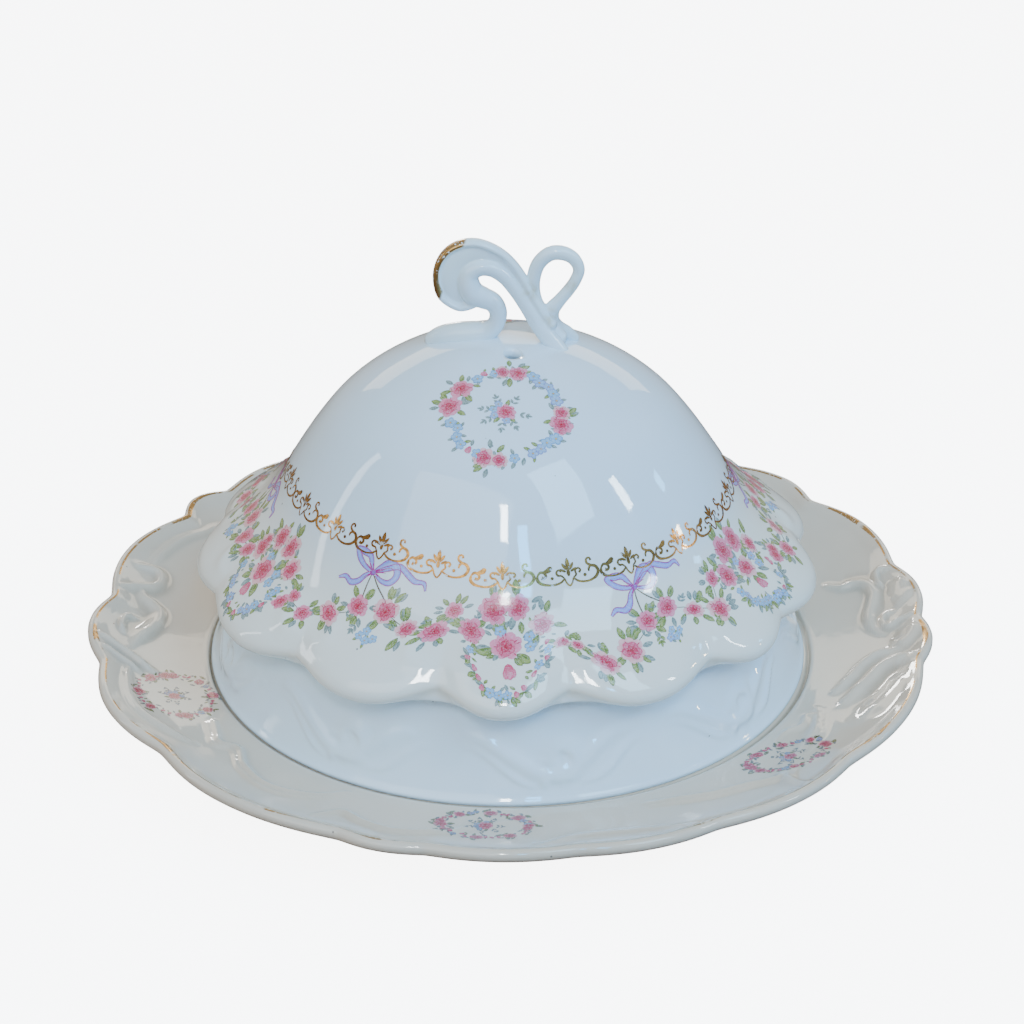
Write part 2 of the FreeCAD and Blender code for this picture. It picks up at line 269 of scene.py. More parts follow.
def porcelain(name, look, pooledAndShaded=False, gilt=None, wear=(0.4, 0.5), paintedWarmBand=None, stain=None):
    # Glaze: faint clouds in its white; darker glaze where the hollows' attribute is high, partly pooled glaze
    # and partly painted shade, with a painted shadow of the seam past 1; a few iron specks, a hair of ripple.
    # gilt and stain make masks of gold and brown; wear says how much noise rubs off the gold.
    # Between the heights given for the frill its colour is painted warmer, standing in for light through the
    # thin frill.
    g = Graph(bpy.data.materials.new(name))
    clouds = g.noise(38.0, 3.0)
    colour = g.mix(clouds.ramp(0.35, 0.7), look["bright"], look["cloud"])
    if paintedWarmBand:
        level = g.axes("Z")[0]
        warmBandMask = level.ramp(paintedWarmBand[0], paintedWarmBand[1]) * level.ramp(paintedWarmBand[2], paintedWarmBand[3], 1.0, 0.0)
        colour = g.mix(warmBandMask, colour, look["paintedWarmBand"])
    if pooledAndShaded:
        hollowShade = g.attribute("hollowShade")
        # Painted shade: the hollows' attribute darkens the glaze towards the pooled colour.
        colour = g.mix(hollowShade.ramp(0.0, 1.0, 0.0, 0.6), colour, look["pooledAndShaded"])
        dirt = hollowShade.ramp(0.45, 1.0) * g.noise(900.0, 4.0).ramp(0.45, 0.7) * 0.35
        colour = g.mix(dirt, colour, look["grime"])
        # Painted shadow: past 1 the attribute paints the dark seam round the cover's foot.
        colour = g.mix(hollowShade.ramp(1.0, 1.5, 0.0, 0.9), colour, look["seamShadow"])
    if stain:
        colour = g.mix(stain(g), colour, look["stain"])
    cell = g.node("TexVoronoi", None, {"Vector": g.place(), "Scale": 170.0}, "Distance")
    speck = cell.ramp(0.035, 0.055, 1.0, 0.0) * g.noise(60.0, 0.0).ramp(0.56, 0.6)
    colour = g.mix(speck * 0.7, colour, look["speck"])
    rough = clouds * 0.04 + look["rough"]
    metallic = 0.0
    if gilt:
        gold = gilt(g) * g.noise(160.0, 5.0).ramp(*wear) * g.noise(1500.0, 2.0).ramp(0.3, 0.42)
        colour = g.mix(gold, colour, look["gold"])
        metallic = gold * 0.95
        rough = rough + gold * 0.2
    bumps = {"Strength": 0.06, "Distance": 0.0008, "Height": g.noise(130.0, 2.0)}
    ripple = g.node("Bump", None, bumps, "Normal")
    return g.surface(
        {
            "Base Color": colour,
            "Roughness": rough,
            "Metallic": metallic,
            "Normal": ripple,
            "IOR": 1.5,
            "Coat Weight": 0.4,
            "Coat Roughness": 0.02,
        }
    )


def edgeGold(g):
    # The attribute gilt is 2 on a gilt edge and falls by 1 for each millimetre away from it.
    return g.attribute("gilt").ramp(1.45, 1.58)


def scrollGold(g):
    # What is left of the gold on the scroll's outer edge: far from its middle, on its left and front.
    x, y, z = g.axes("XYZ")
    x, z = x + 0.0089, z - 0.1034
    far = (x * x + z * z).op("SQRT")
    left = (x * 0.92 - z * 0.4).ramp(-0.0042, -0.0050) * z.ramp(-0.0068, -0.0060)
    return far.ramp(0.0074, 0.0076) * left * y.ramp(0.0004, -0.0001)


# Round spots on the knob, in metres: x, z, radius.
stainSpots = (
    (0.005, 0.1, 0.003), (0.0138, 0.101, 0.0026), (0.0098, 0.0935, 0.0032), (-0.002, 0.0975, 0.0024)
)


def handleStain(g):
    # Brown glaze gathered in the knob's corners.
    x, z = g.axes("XZ")
    found = 0.0
    for cx, cz, r in stainSpots:
        away = ((x - cx) * (x - cx) + (z - cz) * (z - cz)).op("SQRT")
        found = away.ramp(0.2 * r, r, 0.55, 0.0) + found
    return found * g.noise(500.0, 3.0).ramp(0.3, 0.7)


def gilding(name, look, body):
    # Burnished gold leaf, rubbed thin in places so that the glaze shows.
    g = Graph(bpy.data.materials.new(name))
    worn = g.noise(700.0, 4.0).ramp(0.62, 0.7, 0.0, 0.7)
    patina = g.noise(1400.0, 3.0)
    colour = g.mix(patina.ramp(0.3, 0.75), look["bright"], look["dark"])
    return g.surface(
        {
            "Base Color": g.mix(worn, colour, body),
            "Metallic": 1.0 - worn * 0.9,
            "Roughness": patina * 0.2 + 0.14,
            "Coat Weight": 0.1,
        }
    )


def enamel(name):
    # Printed colour under a thin flux: the attribute tint, broken by fine stipple.
    g = Graph(bpy.data.materials.new(name))
    stipple = g.noise(3200.0, 2.0).ramp(0.45, 0.75, 0.0, 0.3)
    tint = g.mix(stipple, g.attribute("tint", "Color"), (0.82, 0.88, 0.93))
    rough = stipple * 0.1 + 0.1
    return g.surface({"Base Color": tint, "Roughness": rough, "IOR": 1.5, "Coat Weight": 0.3})


print("materials")
goldLook = {"bright": (0.56, 0.30, 0.085), "dark": (0.19, 0.095, 0.03)}
dishTones = {"bright": (0.73, 0.62, 0.49), "cloud": (0.69, 0.585, 0.46), "pooledAndShaded": (0.31, 0.25, 0.18)}
dishLook = {**porcelainLook, **dishTones}
# The frill's warmer tone is painted light: light through the thin frill, painted into its colour.
coverLook = {**porcelainLook, "paintedWarmBand": (0.86, 0.86, 0.78)}
# The handle's white is painted brighter than the cover's, standing in for the light falling on the top of the
# lid.
handleLook = {**porcelainLook, "bright": (0.80, 0.96, 1.0), "gold": (0.5, 0.3, 0.1)}
coverGlaze = porcelain("cover_porcelain", coverLook, True, edgeGold, paintedWarmBand=(0.026, 0.034, 0.042, 0.060))
dishGlaze = porcelain("dish_porcelain", dishLook, True, edgeGold)
handleGlaze = porcelain("handle_porcelain", handleLook, False, scrollGold, (0.2, 0.3), stain=handleStain)
plainGlaze = porcelain("plain_porcelain", porcelainLook)
goldLeaf = gilding("gold_leaf", goldLook, porcelainLook["bright"])
transferInk = enamel("transfer_enamel")

# ---- cover ----

coverSettings = {
    "columns": 720,
    # Angle and depth of every notch in the frill.
    "notches": [
        (-161, 0.55), (-131.5, 0.85), (-102.4, 1.15), (-79, 1.1), (-50.5, 0.9), (-28.7, 0.65), (0, 0.8),
        (28, 0.9), (57, 1), (85, 1.1), (114, 1), (142, 0.9), (171, 0.7),
    ],
    "soft": 0.3,
    "shorter": (-4.4, 3.4),
    "puff": 1.3,
    # Outside, from the top of the dome to the frill's lip.
    "outer": [
        (0, 88), (7, 87.6), (13.5, 86.35), (25.3, 82.1), (32.6, 78), (40.1, 71.9), (45.4, 65.6), (49.6, 59.6),
        (52.9, 54.4), (54.5, 51.6), (57.2, 47.9), (61.7, 43.4), (66.9, 39.3), (71.7, 35.6), (74.3, 33.2),
    ],
    "outerRows": [3, 3, 5, 4, 4, 4, 4, 3, 3, 4, 5, 6, 6, 4],
    # The lip, the hollow under the frill, the wall down to the foot.
    "lower": [
        (75.3, 31.4), (74.9, 30), (73.5, 29.2), (71.4, 29.5), (69, 30.5), (67, 28.8), (67.3, 24.5),
        (68.6, 19.5), (70.5, 13.8), (72.7, 8.6), (73.6, 7.2), (73.3, 6.55),
    ],
    "lowerRows": [2, 2, 2, 2, 2, 3, 7, 8, 9, 4, 2],
    # The foot and the inside, up to the top again.
    "inner": [
        (72, 6.5), (70.8, 7), (67.2, 17.5), (64.4, 30.3), (57.7, 40.6), (51.2, 50.4), (43.1, 62.8),
        (37.5, 69.4), (26.5, 77.9), (13, 83.4), (0, 85),
    ],
    "innerRows": [1, 1, 3, 3, 2, 2, 2, 2, 2, 2, 2],
    "reliefHeight": 0.95,
    "curlHeight": 0.4,
    # The radii at which the widths of the wall's and the frill's relief are measured.
    "wallRadius": 71,
    "frillRadius": 66,
    "slid": -0.55,
    "lean": 0.7,
}
print("cover")


def scallops(theta, notches, soft):
    # 0 at a scallop's crown, 1 at a notch: a parabola whose point is rounded off; and that notch's depth.
    angles, depths = np.array(notches + [(notches[0][0] + 360, notches[0][1])], float).T
    t = (theta - angles[0]) % 360 + angles[0]
    i = np.clip(np.searchsorted(angles, t, side="right") - 1, 0, len(angles) - 2)
    phase = (t - angles[i]) / (angles[i + 1] - angles[i])
    away = 1 - np.abs(2 * phase - 1)
    away = np.sqrt(away**2 + soft**2) - soft * (1 - away)
    n = np.clip(1 - away, 0, 1) ** 2
    return n, depths[i] + (depths[i + 1] - depths[i]) * smoothStep(0.35, 0.65, phase)


cs = coverSettings
coverProfile = cs["outer"] + cs["lower"] + cs["inner"]
coverRows = cs["outerRows"] + [2] + cs["lowerRows"] + [2] + cs["innerRows"][1:]


def lean(z):
    # The cover sits a little to one side of the well and leans that way, as it left the kiln.
    return cs["slid"] - cs["lean"] * np.clip(z - 33, 0, 90) / 55


def coverShape(theta, s, r, z):
    k = cover.knots
    atBand, atLip, atCove = k[9], k[14], k[19]
    rise = smoothStep(atBand, atLip, s) ** 1.3 * (1 - smoothStep(atLip + 3.5, atCove, s))
    n, depth = scallops(theta, cs["notches"], cs["soft"])
    n = n * depth
    # A scallop's middle swells and its notch sinks, most of all near the edge.
    swell = (0.45 - n) * cs["puff"] * rise * (1 - smoothStep(atLip, atLip + 5, s))
    dr, dz = cs["shorter"]
    raised = scrollwork(theta, s, wallLines, cs["wallRadius"], k[20] + 1, k[24] - 1.5) * cs["reliefHeight"]
    raised = raised * smoothStep(k[20] + 1, k[20] + 4, s) * (1 - smoothStep(k[24] - 4, k[24] - 1, s))
    curls = scrollwork(theta, s, frillLines, cs["frillRadius"], k[10], k[14]) * cs["curlHeight"]
    curls = curls * (1 - smoothStep(atLip - 3, atLip, s))
    out = r + dr * n * rise + swell * 0.66 + raised + curls * 0.6
    made = turned(theta, out, z + dz * n * rise + swell * 0.75 + curls * 0.8)
    made[..., 0] += lean(made[..., 2])
    return made


def scrollwork(theta, s, lines, radius, low, high):
    # Raised lines at the points (theta, s); a line is (centre angle, path in mm, half width, height, fold).
    # A fold beyond 1 makes the slope on the path's left that much longer, below -1 the one on its right.
    height = np.zeros(theta.shape, np.float32)
    inside = (s > low) & (s < high)
    a, b = theta[inside], s[inside].astype(np.float32)
    found = np.zeros(a.shape, np.float32)
    for centre, path, width, tall, fold in lines:
        x = (np.radians(wrap(a - centre)) * radius).astype(np.float32)
        reach = 2.6 * width * abs(fold)
        lo, hi = path.min(0) - reach, path.max(0) + reach
        near = (x > lo[0]) & (x < hi[0]) & (b > lo[1]) & (b < hi[1])
        if not near.any():
            continue
        px, py = x[near], b[near]
        d, i = nearest(px, py, path)
        t = i / (len(path) - 1)
        taper = np.minimum(1, 3.2 * np.minimum(t + 0.12, 1.08 - t))
        along = np.gradient(path, axis=0)[i]
        side = along[:, 0] * (py - path[i, 1]) - along[:, 1] * (px - path[i, 0])
        spread = np.where(side * fold > 0, abs(fold), 1.0)
        slope = width * spread * (0.55 + 0.45 * taper)
        found[near] = np.maximum(found[near], tall * taper * np.exp(-((d / slope) ** 2)))
    height[inside] = found
    return height


def whiplash(length, rise, curl, side=1, turns=1.35):
    # A long lazy S that ends in a spiral of radius curl.
    t = np.linspace(0, 1, 60)
    x, y = length * (t - 0.5), rise * np.sin((t - 0.5) * math.pi)
    a = np.linspace(0, turns * TAU, 70)
    r = curl * (1 - a / (turns * TAU)) ** 0.8 + 0.1
    sx, sy = x[-1], y[-1] - curl * 1.0
    spiral = np.stack([sx + r * np.sin(a), sy + r * np.cos(a)], 1)
    path = np.vstack([np.stack([x, y], 1), spiral[1:]])
    path[:, 0] *= side
    return evenly(path, 0.5)


cover = Skin(coverProfile, coverRows, coverShape)
wallTop, wallFoot = cover.knots[20], cover.knots[24]
wallMiddle = (wallTop + wallFoot) / 2
wallLines = []
for k in range(9):
    centre = -90 + 40 * k + 7
    for side, shift, rise, curl, length in ((1, -6, 4.6, 3.6, 22), (-1, 8, -3.8, 2.9, 16)):
        path = whiplash(length, rise, curl, side)
        path[:, 1] = path[:, 1] * (1 if side > 0 else -1) + wallMiddle + 1.5
        wallLines.append((centre + shift, path, 1.3, 1.0, 1.8 * side))
        wallLines.append((centre + shift * 1.5, path * (0.8, 1) + (1.5, 2.6), 0.8, 0.6, 1.0))

# Two raised arcs rise from each notch of the frill.
frillLines = []
for angle, _ in cs["notches"]:
    for side, big in ((-1, 1.0), (1, 0.8)):
        path = stroke([(side * x * big, cover.knots[14] - 2.2 - y * big) for x, y in
                       [(0.8, 0), (4.4, 1.4), (7.2, 4.6), (7.6, 9.0), (5.4, 12.0)]], 0.5)
        frillLines.append((angle, path, 1.9, 1.0, 1.0))

theta, s = np.meshgrid(np.arange(cs["columns"]) * 360 / cs["columns"], cover.rowAt[1:-1])
points = cover.point(theta, s)
# Painted shade in the cove under the frill, carried by the hollows' attribute.
cove = cover.knots[16:22]
hollowShade = smoothStep(cove[0], cove[3], s) * (1 - smoothStep(cove[4], cove[5], s)) * 0.8
lipDistance = np.abs(s - cover.knots[14] - 0.4)
marks = {"hollowShade": hollowShade, "gilt": np.clip(1.85 - lipDistance, 0, 2)}
coverBody = ringSolid("cover_porcelain_body", points, (lean(88), 0, 88), (lean(85), 0, 85), marks)
coverBody.data.materials.append(coverGlaze)

# The vent hole.
ventSettings = {"radius": 2.3, "distance": 8.6, "angle": -77.0, "depth": 8.0}
vs = ventSettings
bore = np.linspace(0, TAU, 48, endpoint=False)
ring = np.stack([np.cos(bore), np.sin(bore), 0 * bore], 1) * vs["radius"]
centre = turned(np.array(vs["angle"]), vs["distance"], 86.0) + (lean(86), 0, 0)
top, end = (centre + (0, 0, side * vs["depth"] / 2) for side in (1, -1))
drill = ringSolid("vent_drill", np.stack([ring + top, ring + end]), top, end)
drill.hide_render = True
drill.hide_viewport = True
hole = coverBody.modifiers.new("vent", "BOOLEAN")
hole.object = drill
hole.operation = "DIFFERENCE"
hole.solver = "EXACT"
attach(coverBody, "cover")
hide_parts("cover")


# ---- dish ----

dishSettings = {
    "columns": 1000,
    # Angle and depth of every notch in the rim.
    "notches": [
        (-165, 2.4), (-141, 3), (-111, 1.5), (-100, 1.2), (-82, 1.2), (-64, 1.6), (-42, 1.8), (-15, 1.6),
        (-3, 1.8), (12, 2.2), (35, 3), (51, 1.8), (75, 1.8), (100, 1.5), (120, 1.8), (141, 2.8), (151, 3.2),
        (177, 3.2),
    ],
    "profile": [
        (0, 6.5), (40, 6.5), (73.4, 6.4), (74.3, 5.8), (74.95, 7.4), (77.5, 8), (82, 8.7), (88, 10.1),
        (94, 12.3), (98.5, 14.7), (100.7, 16.4), (102, 17.2), (103.2, 16.8), (103.5, 15.5), (102.5, 14.2),
        (99, 12), (92, 8.6), (80, 4.9), (66, 3), (63.6, 2.4), (63, 0.5), (62.2, 0), (59.4, 0),
        (58.5, 0.5), (57.8, 2.5), (55.5, 2.8), (0, 2.8),
    ],
    "frontSpread": (0.45, 1.1),
    "soft": 0.14,
    "reliefHeight": 1.9,
    # The radius at which the relief's widths are measured.
    "reliefRadius": 90,
    # The radius of the wreaths' middles, and how far round each the relief is kept low.
    "medallionRadius": 88,
    "medallionReach": 10.5,
    # Painted wreaths: angle, distance from the rim's middle row, flattening and tilt in degrees.
    "medallions": [
        (-158.3, 2.6, 0.95, 0), (-93.7, 4.2, 0.62, 0), (-42.2, 2.6, 0.6, 28), (62, 3, 0.8, 0),
        (122, 3, 0.8, 0),
    ],
    # Their clusters of roses: angle, how many.
    "medallionRoses": [(4, 2), (52, 1), (98, 1), (150, 1), (182, 2), (-128, 1), (-84, 1), (-40, 1)],
    # Angle and spread of the places where more gold is left.
    "gilt": [
        (-170, 3), (-140, 4), (-120.5, 3), (-106, 2), (-65.5, 2), (-36, 3), (-8, 3), (25, 4), (70, 6),
        (110, 6), (150, 4),
    ],
    # Raised lines as (angle, share of the border's width), half width, height, distance of a twin line, fold.
    "relief": [
        ([(-149, 0.12), (-145, 0.2), (-142, 0.26), (-140, 0.18), (-134, 0.33), (-127, 0.42), (-121, 0.28),
         (-117, 0.04)], 0.9, 0.55, 1.7, 1),
        ([(-117, 0.62), (-114.5, 0.4), (-111, 0.5), (-106, 0.56), (-100, 0.45), (-94, 0.24), (-88, 0.12)],
         0.9, 0.5, 1.5, 1.6),
        ([(-86, 0.7), (-80, 0.55), (-73, 0.6), (-66, 0.78)], 1.2, 0.4, 0, 1.8),
        ([(-68, 0.12), (-63, 0.2), (-58, 0.3), (-53, 0.38), (-48.5, 0.5), (-45, 0.4), (-43.5, 0.25)], 0.9,
         0.55, 1.5, 1.4),
        ([(-40, 0.05), (-36, 0.03), (-32.5, 0.13), (-29, 0.1), (-27.5, 0.22)], 0.8, 0.45, 0, 1),
        # The swags of the right end: rounded lobes at the rim and the folds between them.
        ([(8, 0.97), (4.5, 0.88), (1.5, 0.95)], 3, 0.8, 0, 1),
        ([(-5, 0.96), (-8, 0.84), (-9.5, 0.7)], 2.8, 0.85, 0, 1),
        ([(-17, 0.93), (-22, 0.8), (-29, 0.62)], 3.4, 0.5, 0, 1),
        ([(11.5, 0.98), (12, 0.87), (10.5, 0.79), (7.5, 0.77)], 0.9, 0.85, 0, 1),
        ([(14.5, 0.3), (12.5, 0.41), (12, 0.53), (11, 0.62), (8, 0.64), (5, 0.57), (2, 0.5), (-1.5, 0.51),
         (-4, 0.6)], 1, 0.9, 0, -2.2),
        ([(-2.5, 1), (-2.5, 0.84), (-3, 0.7), (-1, 0.64), (1, 0.7), (1, 0.78)], 0.9, 0.85, 0, 1),
        ([(-13.5, 1), (-13, 0.8), (-14, 0.62), (-17.5, 0.49), (-20.5, 0.41), (-24, 0.33)], 1.1, 1.1, 0,
         -3),
        ([(-20.5, 0.2), (-16, 0.31), (-12, 0.4), (-9.5, 0.55), (-9.5, 0.75)], 0.9, 0.8, 0, 2),
        ([(50, 1), (48, 0.6), (42, 0.4), (34, 0.3), (26, 0.14)], 1, 0.6, 1.7, 1.5),
        # The left end: a hooked scroll, a lobe, its curl, a double bar.
        ([(174, 1), (173, 0.88), (171.5, 0.75), (170, 0.63), (168, 0.6), (166, 0.66), (166, 0.78),
         (167, 0.9)], 1.1, 0.9, 0, 1.4),
        ([(171.5, 0.73), (173.5, 0.68), (174.5, 0.56), (176, 0.45), (179, 0.42), (182.5, 0.48),
         (185.5, 0.57), (188, 0.64)], 1.1, 0.9, 0, 2.6),
        ([(185, 0.73), (183, 0.78), (180.5, 0.75), (180, 0.66)], 0.8, 0.85, 0, 1),
        ([(188, 1), (189.5, 0.84), (191, 0.7), (193, 0.57), (194.5, 0.44)], 1.2, 1.1, 0, 1),
        ([(191, 1), (192.5, 0.86), (194, 0.72), (195.5, 0.6)], 0.9, 0.8, 0, 1),
        ([(194.5, 0.76), (200, 0.78), (207, 0.76), (212.5, 0.62), (217, 0.5)], 0.9, 0.55, 1.6, 1.5),
    ],
    "rows": [2, 2, 2, 3, 3, 8, 11, 11, 9, 5, 3, 3, 2, 2, 2, 3, 3, 3, 2, 2, 1, 2, 1, 2, 2, 2],
}
print("dish")
ds = dishSettings


def dishShape(theta, s, r, z):
    k = dish.knots
    n, depth = scallops(theta, ds["notches"], ds["soft"])
    rise = smoothStep(k[6], k[11], s) ** 1.5 * (1 - smoothStep(k[15], k[17], s))
    raised = scrollwork(theta, s, borderLines, ds["reliefRadius"], k[5] - 0.5, k[10] + 2) * ds["reliefHeight"]
    raised = raised * smoothStep(k[5] - 0.5, k[5] + 1.5, s) * (1 - smoothStep(k[10] - 0.5, k[10] + 1.5, s))
    for angle, inside, flat, tilt in ds["medallions"]:
        away = np.hypot(np.radians(wrap(theta - angle)) * ds["medallionRadius"], s - k[7] + inside)
        raised = raised * (1 - 0.8 * np.exp(-((away / ds["medallionReach"]) ** 6)))
    # The rim droops and spreads a little at the front.
    front = np.clip(-np.sin(np.radians(theta)), 0, 1)
    front = front * smoothStep(k[5], k[10], s) * (1 - smoothStep(k[16], k[18], s))
    spread, droop = ds["frontSpread"]
    level = z + (0.35 - n) * 0.25 * depth * rise - droop * front + raised
    return turned(theta, r - depth * n * rise + spread * front, level)


borderLines = []
dish = Skin(ds["profile"], ds["rows"], dishShape)
borderIn, borderOut = dish.knots[5], dish.knots[10]
width = borderOut - borderIn


def addBorder(points, wide, tall, twin, fold):
    # A raised line on the border through (angle, share of its width from the inner edge), and away from
    # the two ends its mirror image behind. twin adds a thinner line that many millimetres further out.
    middle = float(np.mean([a for a, _ in points]))
    flat = [(math.radians(a - middle) * ds["reliefRadius"], borderIn + share * width) for a, share in points]
    path = stroke(flat, 0.5)
    for sign in (1, -1) if 25 < abs(wrap(middle)) < 155 else (1,):
        borderLines.append((sign * middle, path * (sign, 1), wide, tall, fold * sign))
        if twin:
            borderLines.append((sign * middle, path * (sign, 1) + (0, twin), wide * 0.7, tall * 0.6, 1.0))


for row in ds["relief"]:
    addBorder(*row)

theta, s = np.meshgrid(np.arange(ds["columns"]) * 360 / ds["columns"], dish.rowAt[1:-1])
points = dish.point(theta, s)
# The hollows' attribute darkens the glaze at the feet of the raised lines, partly pooled glaze and partly
# painted shade, and paints a dark shadow in the seam round the cover, most of all in front.
area = (ds["reliefRadius"], borderIn - 0.5, borderOut + 2)
relief = scrollwork(theta, s, borderLines, *area)
feet = [(centre, path, wide * 2.1, tall, fold) for centre, path, wide, tall, fold in borderLines]
feet = scrollwork(theta, s, feet, *area)
hollowShade = np.clip(1.5 * (feet - 1.15 * relief), 0, 0.85)
front = 0.2 + 0.8 * np.sqrt(np.clip(-np.sin(np.radians(theta)), 0, 1))
# Painted shadow of the seam round the cover's foot, strongest in front.
hollowShade = hollowShade + 1.6 * front * np.exp(-(((s - dish.knots[3] - 0.3) / 1.3) ** 4))
# A thin gold line on the lip, wider in a few places.
lipDistance = np.abs(s - dish.knots[11] + 0.4) + 0.2
for angle, wide in ds["gilt"]:
    lipDistance -= 0.5 * np.exp(-((wrap(theta - angle) / wide) ** 2))
marks = {"hollowShade": hollowShade, "gilt": np.clip(2 - lipDistance, 0, 2)}
dishBody = ringSolid("dish_porcelain_body", points, (0, 0, 6.5), (0, 0, 2.8), marks)
dishBody.data.materials.append(dishGlaze)
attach(dishBody, "dish")
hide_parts("dish")


# ---- transfers and gilding ----

paintSettings = {
    "film": 0.05,
    # What is left of each primary in the dish's duller transfers.
    "dull": (0.66, 0.46, 0.46),
    "heart": (0.68, 0.05, 0.10),
    "rose": (0.86, 0.28, 0.43),
    "blush": (0.96, 0.62, 0.71),
    "cream": (0.98, 0.82, 0.80),
    "leaf": (0.36, 0.46, 0.18),
    "leafTip": (0.72, 0.77, 0.44),
    "grey": (0.42, 0.49, 0.46),
    "greyTip": (0.68, 0.74, 0.71),
    "blue": (0.26, 0.50, 0.76),
    "blueTip": (0.62, 0.80, 0.91),
    "violet": (0.42, 0.34, 0.72),
    "eye": (0.92, 0.78, 0.30),
    "ribbon": (0.40, 0.44, 0.86),
    "ribbonTip": (0.62, 0.70, 0.96),
    "magenta": (0.70, 0.14, 0.50),
    "stem": (0.45, 0.20, 0.26),
}
frillSettings = {
    "wreathOff": (0, 2, -1, 1, 0, -2.5),
    "bowOff": ((0, 14.2), (1, 16), (-1, 15), (1.5, 16.4), (0, 15.2), (-2.5, 17)),
    "bowTurn": (15, 6, -10, 14, 0, 5),
    # Roses of the garland: x, y, size, how many.
    "garland": [
        (-0.3, -8.5, 2.6, 1), (6.3, -7.4, 3, 1), (12.9, -11.2, 2.9, 1), (19.2, -12, 3, 1),
        (-7.2, -13.6, 2.9, 1), (-14.2, -16.8, 2.8, 1), (21.4, -5.2, 2.2, 1), (-18.4, -13, 1.9, 1),
    ],
    # Round the rose in each wreath: x, y, size, then a leaf's direction or a bloom's share of violet.
    "middleLeaves": [(1.6, 1.8, 3, -0.9), (-2.6, 2.4, 2.2, 3.6), (-1.6, 3, 2.4, -2.2, True)],
    "middleBlooms": [(-1.4, 8, 1.5, 0.1), (5, 6.3, 1.5, 0.1), (5.2, 3.6, 1.6, 0)],
    "outerLeaves": [(6.4, 6.4, 1.8, 0.5), (-3.2, 7, 2, 2.6)],
    # Twigs of leaves: x, y, direction.
    "twigs": [
        (-3.6, -11.6, 0.4), (16.2, -13, -0.4), (-10.6, -15.4, 3.6), (22.6, -9.4, 0.8), (-17.4, -14.8, 2.4),
        (9.6, -8.6, 0.9), (1.2, -11.8, -1.8),
    ],
    "stems": [
        [(-18, -14.4), (-14.4, -16.6), (-7, -13.6), (-2, -10.4)],
        [(7, -8), (12.6, -10.6), (19, -11), (21, -6)],
    ],
}
print("transfers")
ps = paintSettings
fs = frillSettings


def hue(name):
    # A named paint as linear light.
    c = np.array(ps[name])
    return np.where(c < 0.04045, c / 12.92, ((c + 0.055) / 1.055) ** 2.4)


def polar(x, y, away, angle):
    return x + away * math.cos(angle), y + away * math.sin(angle)


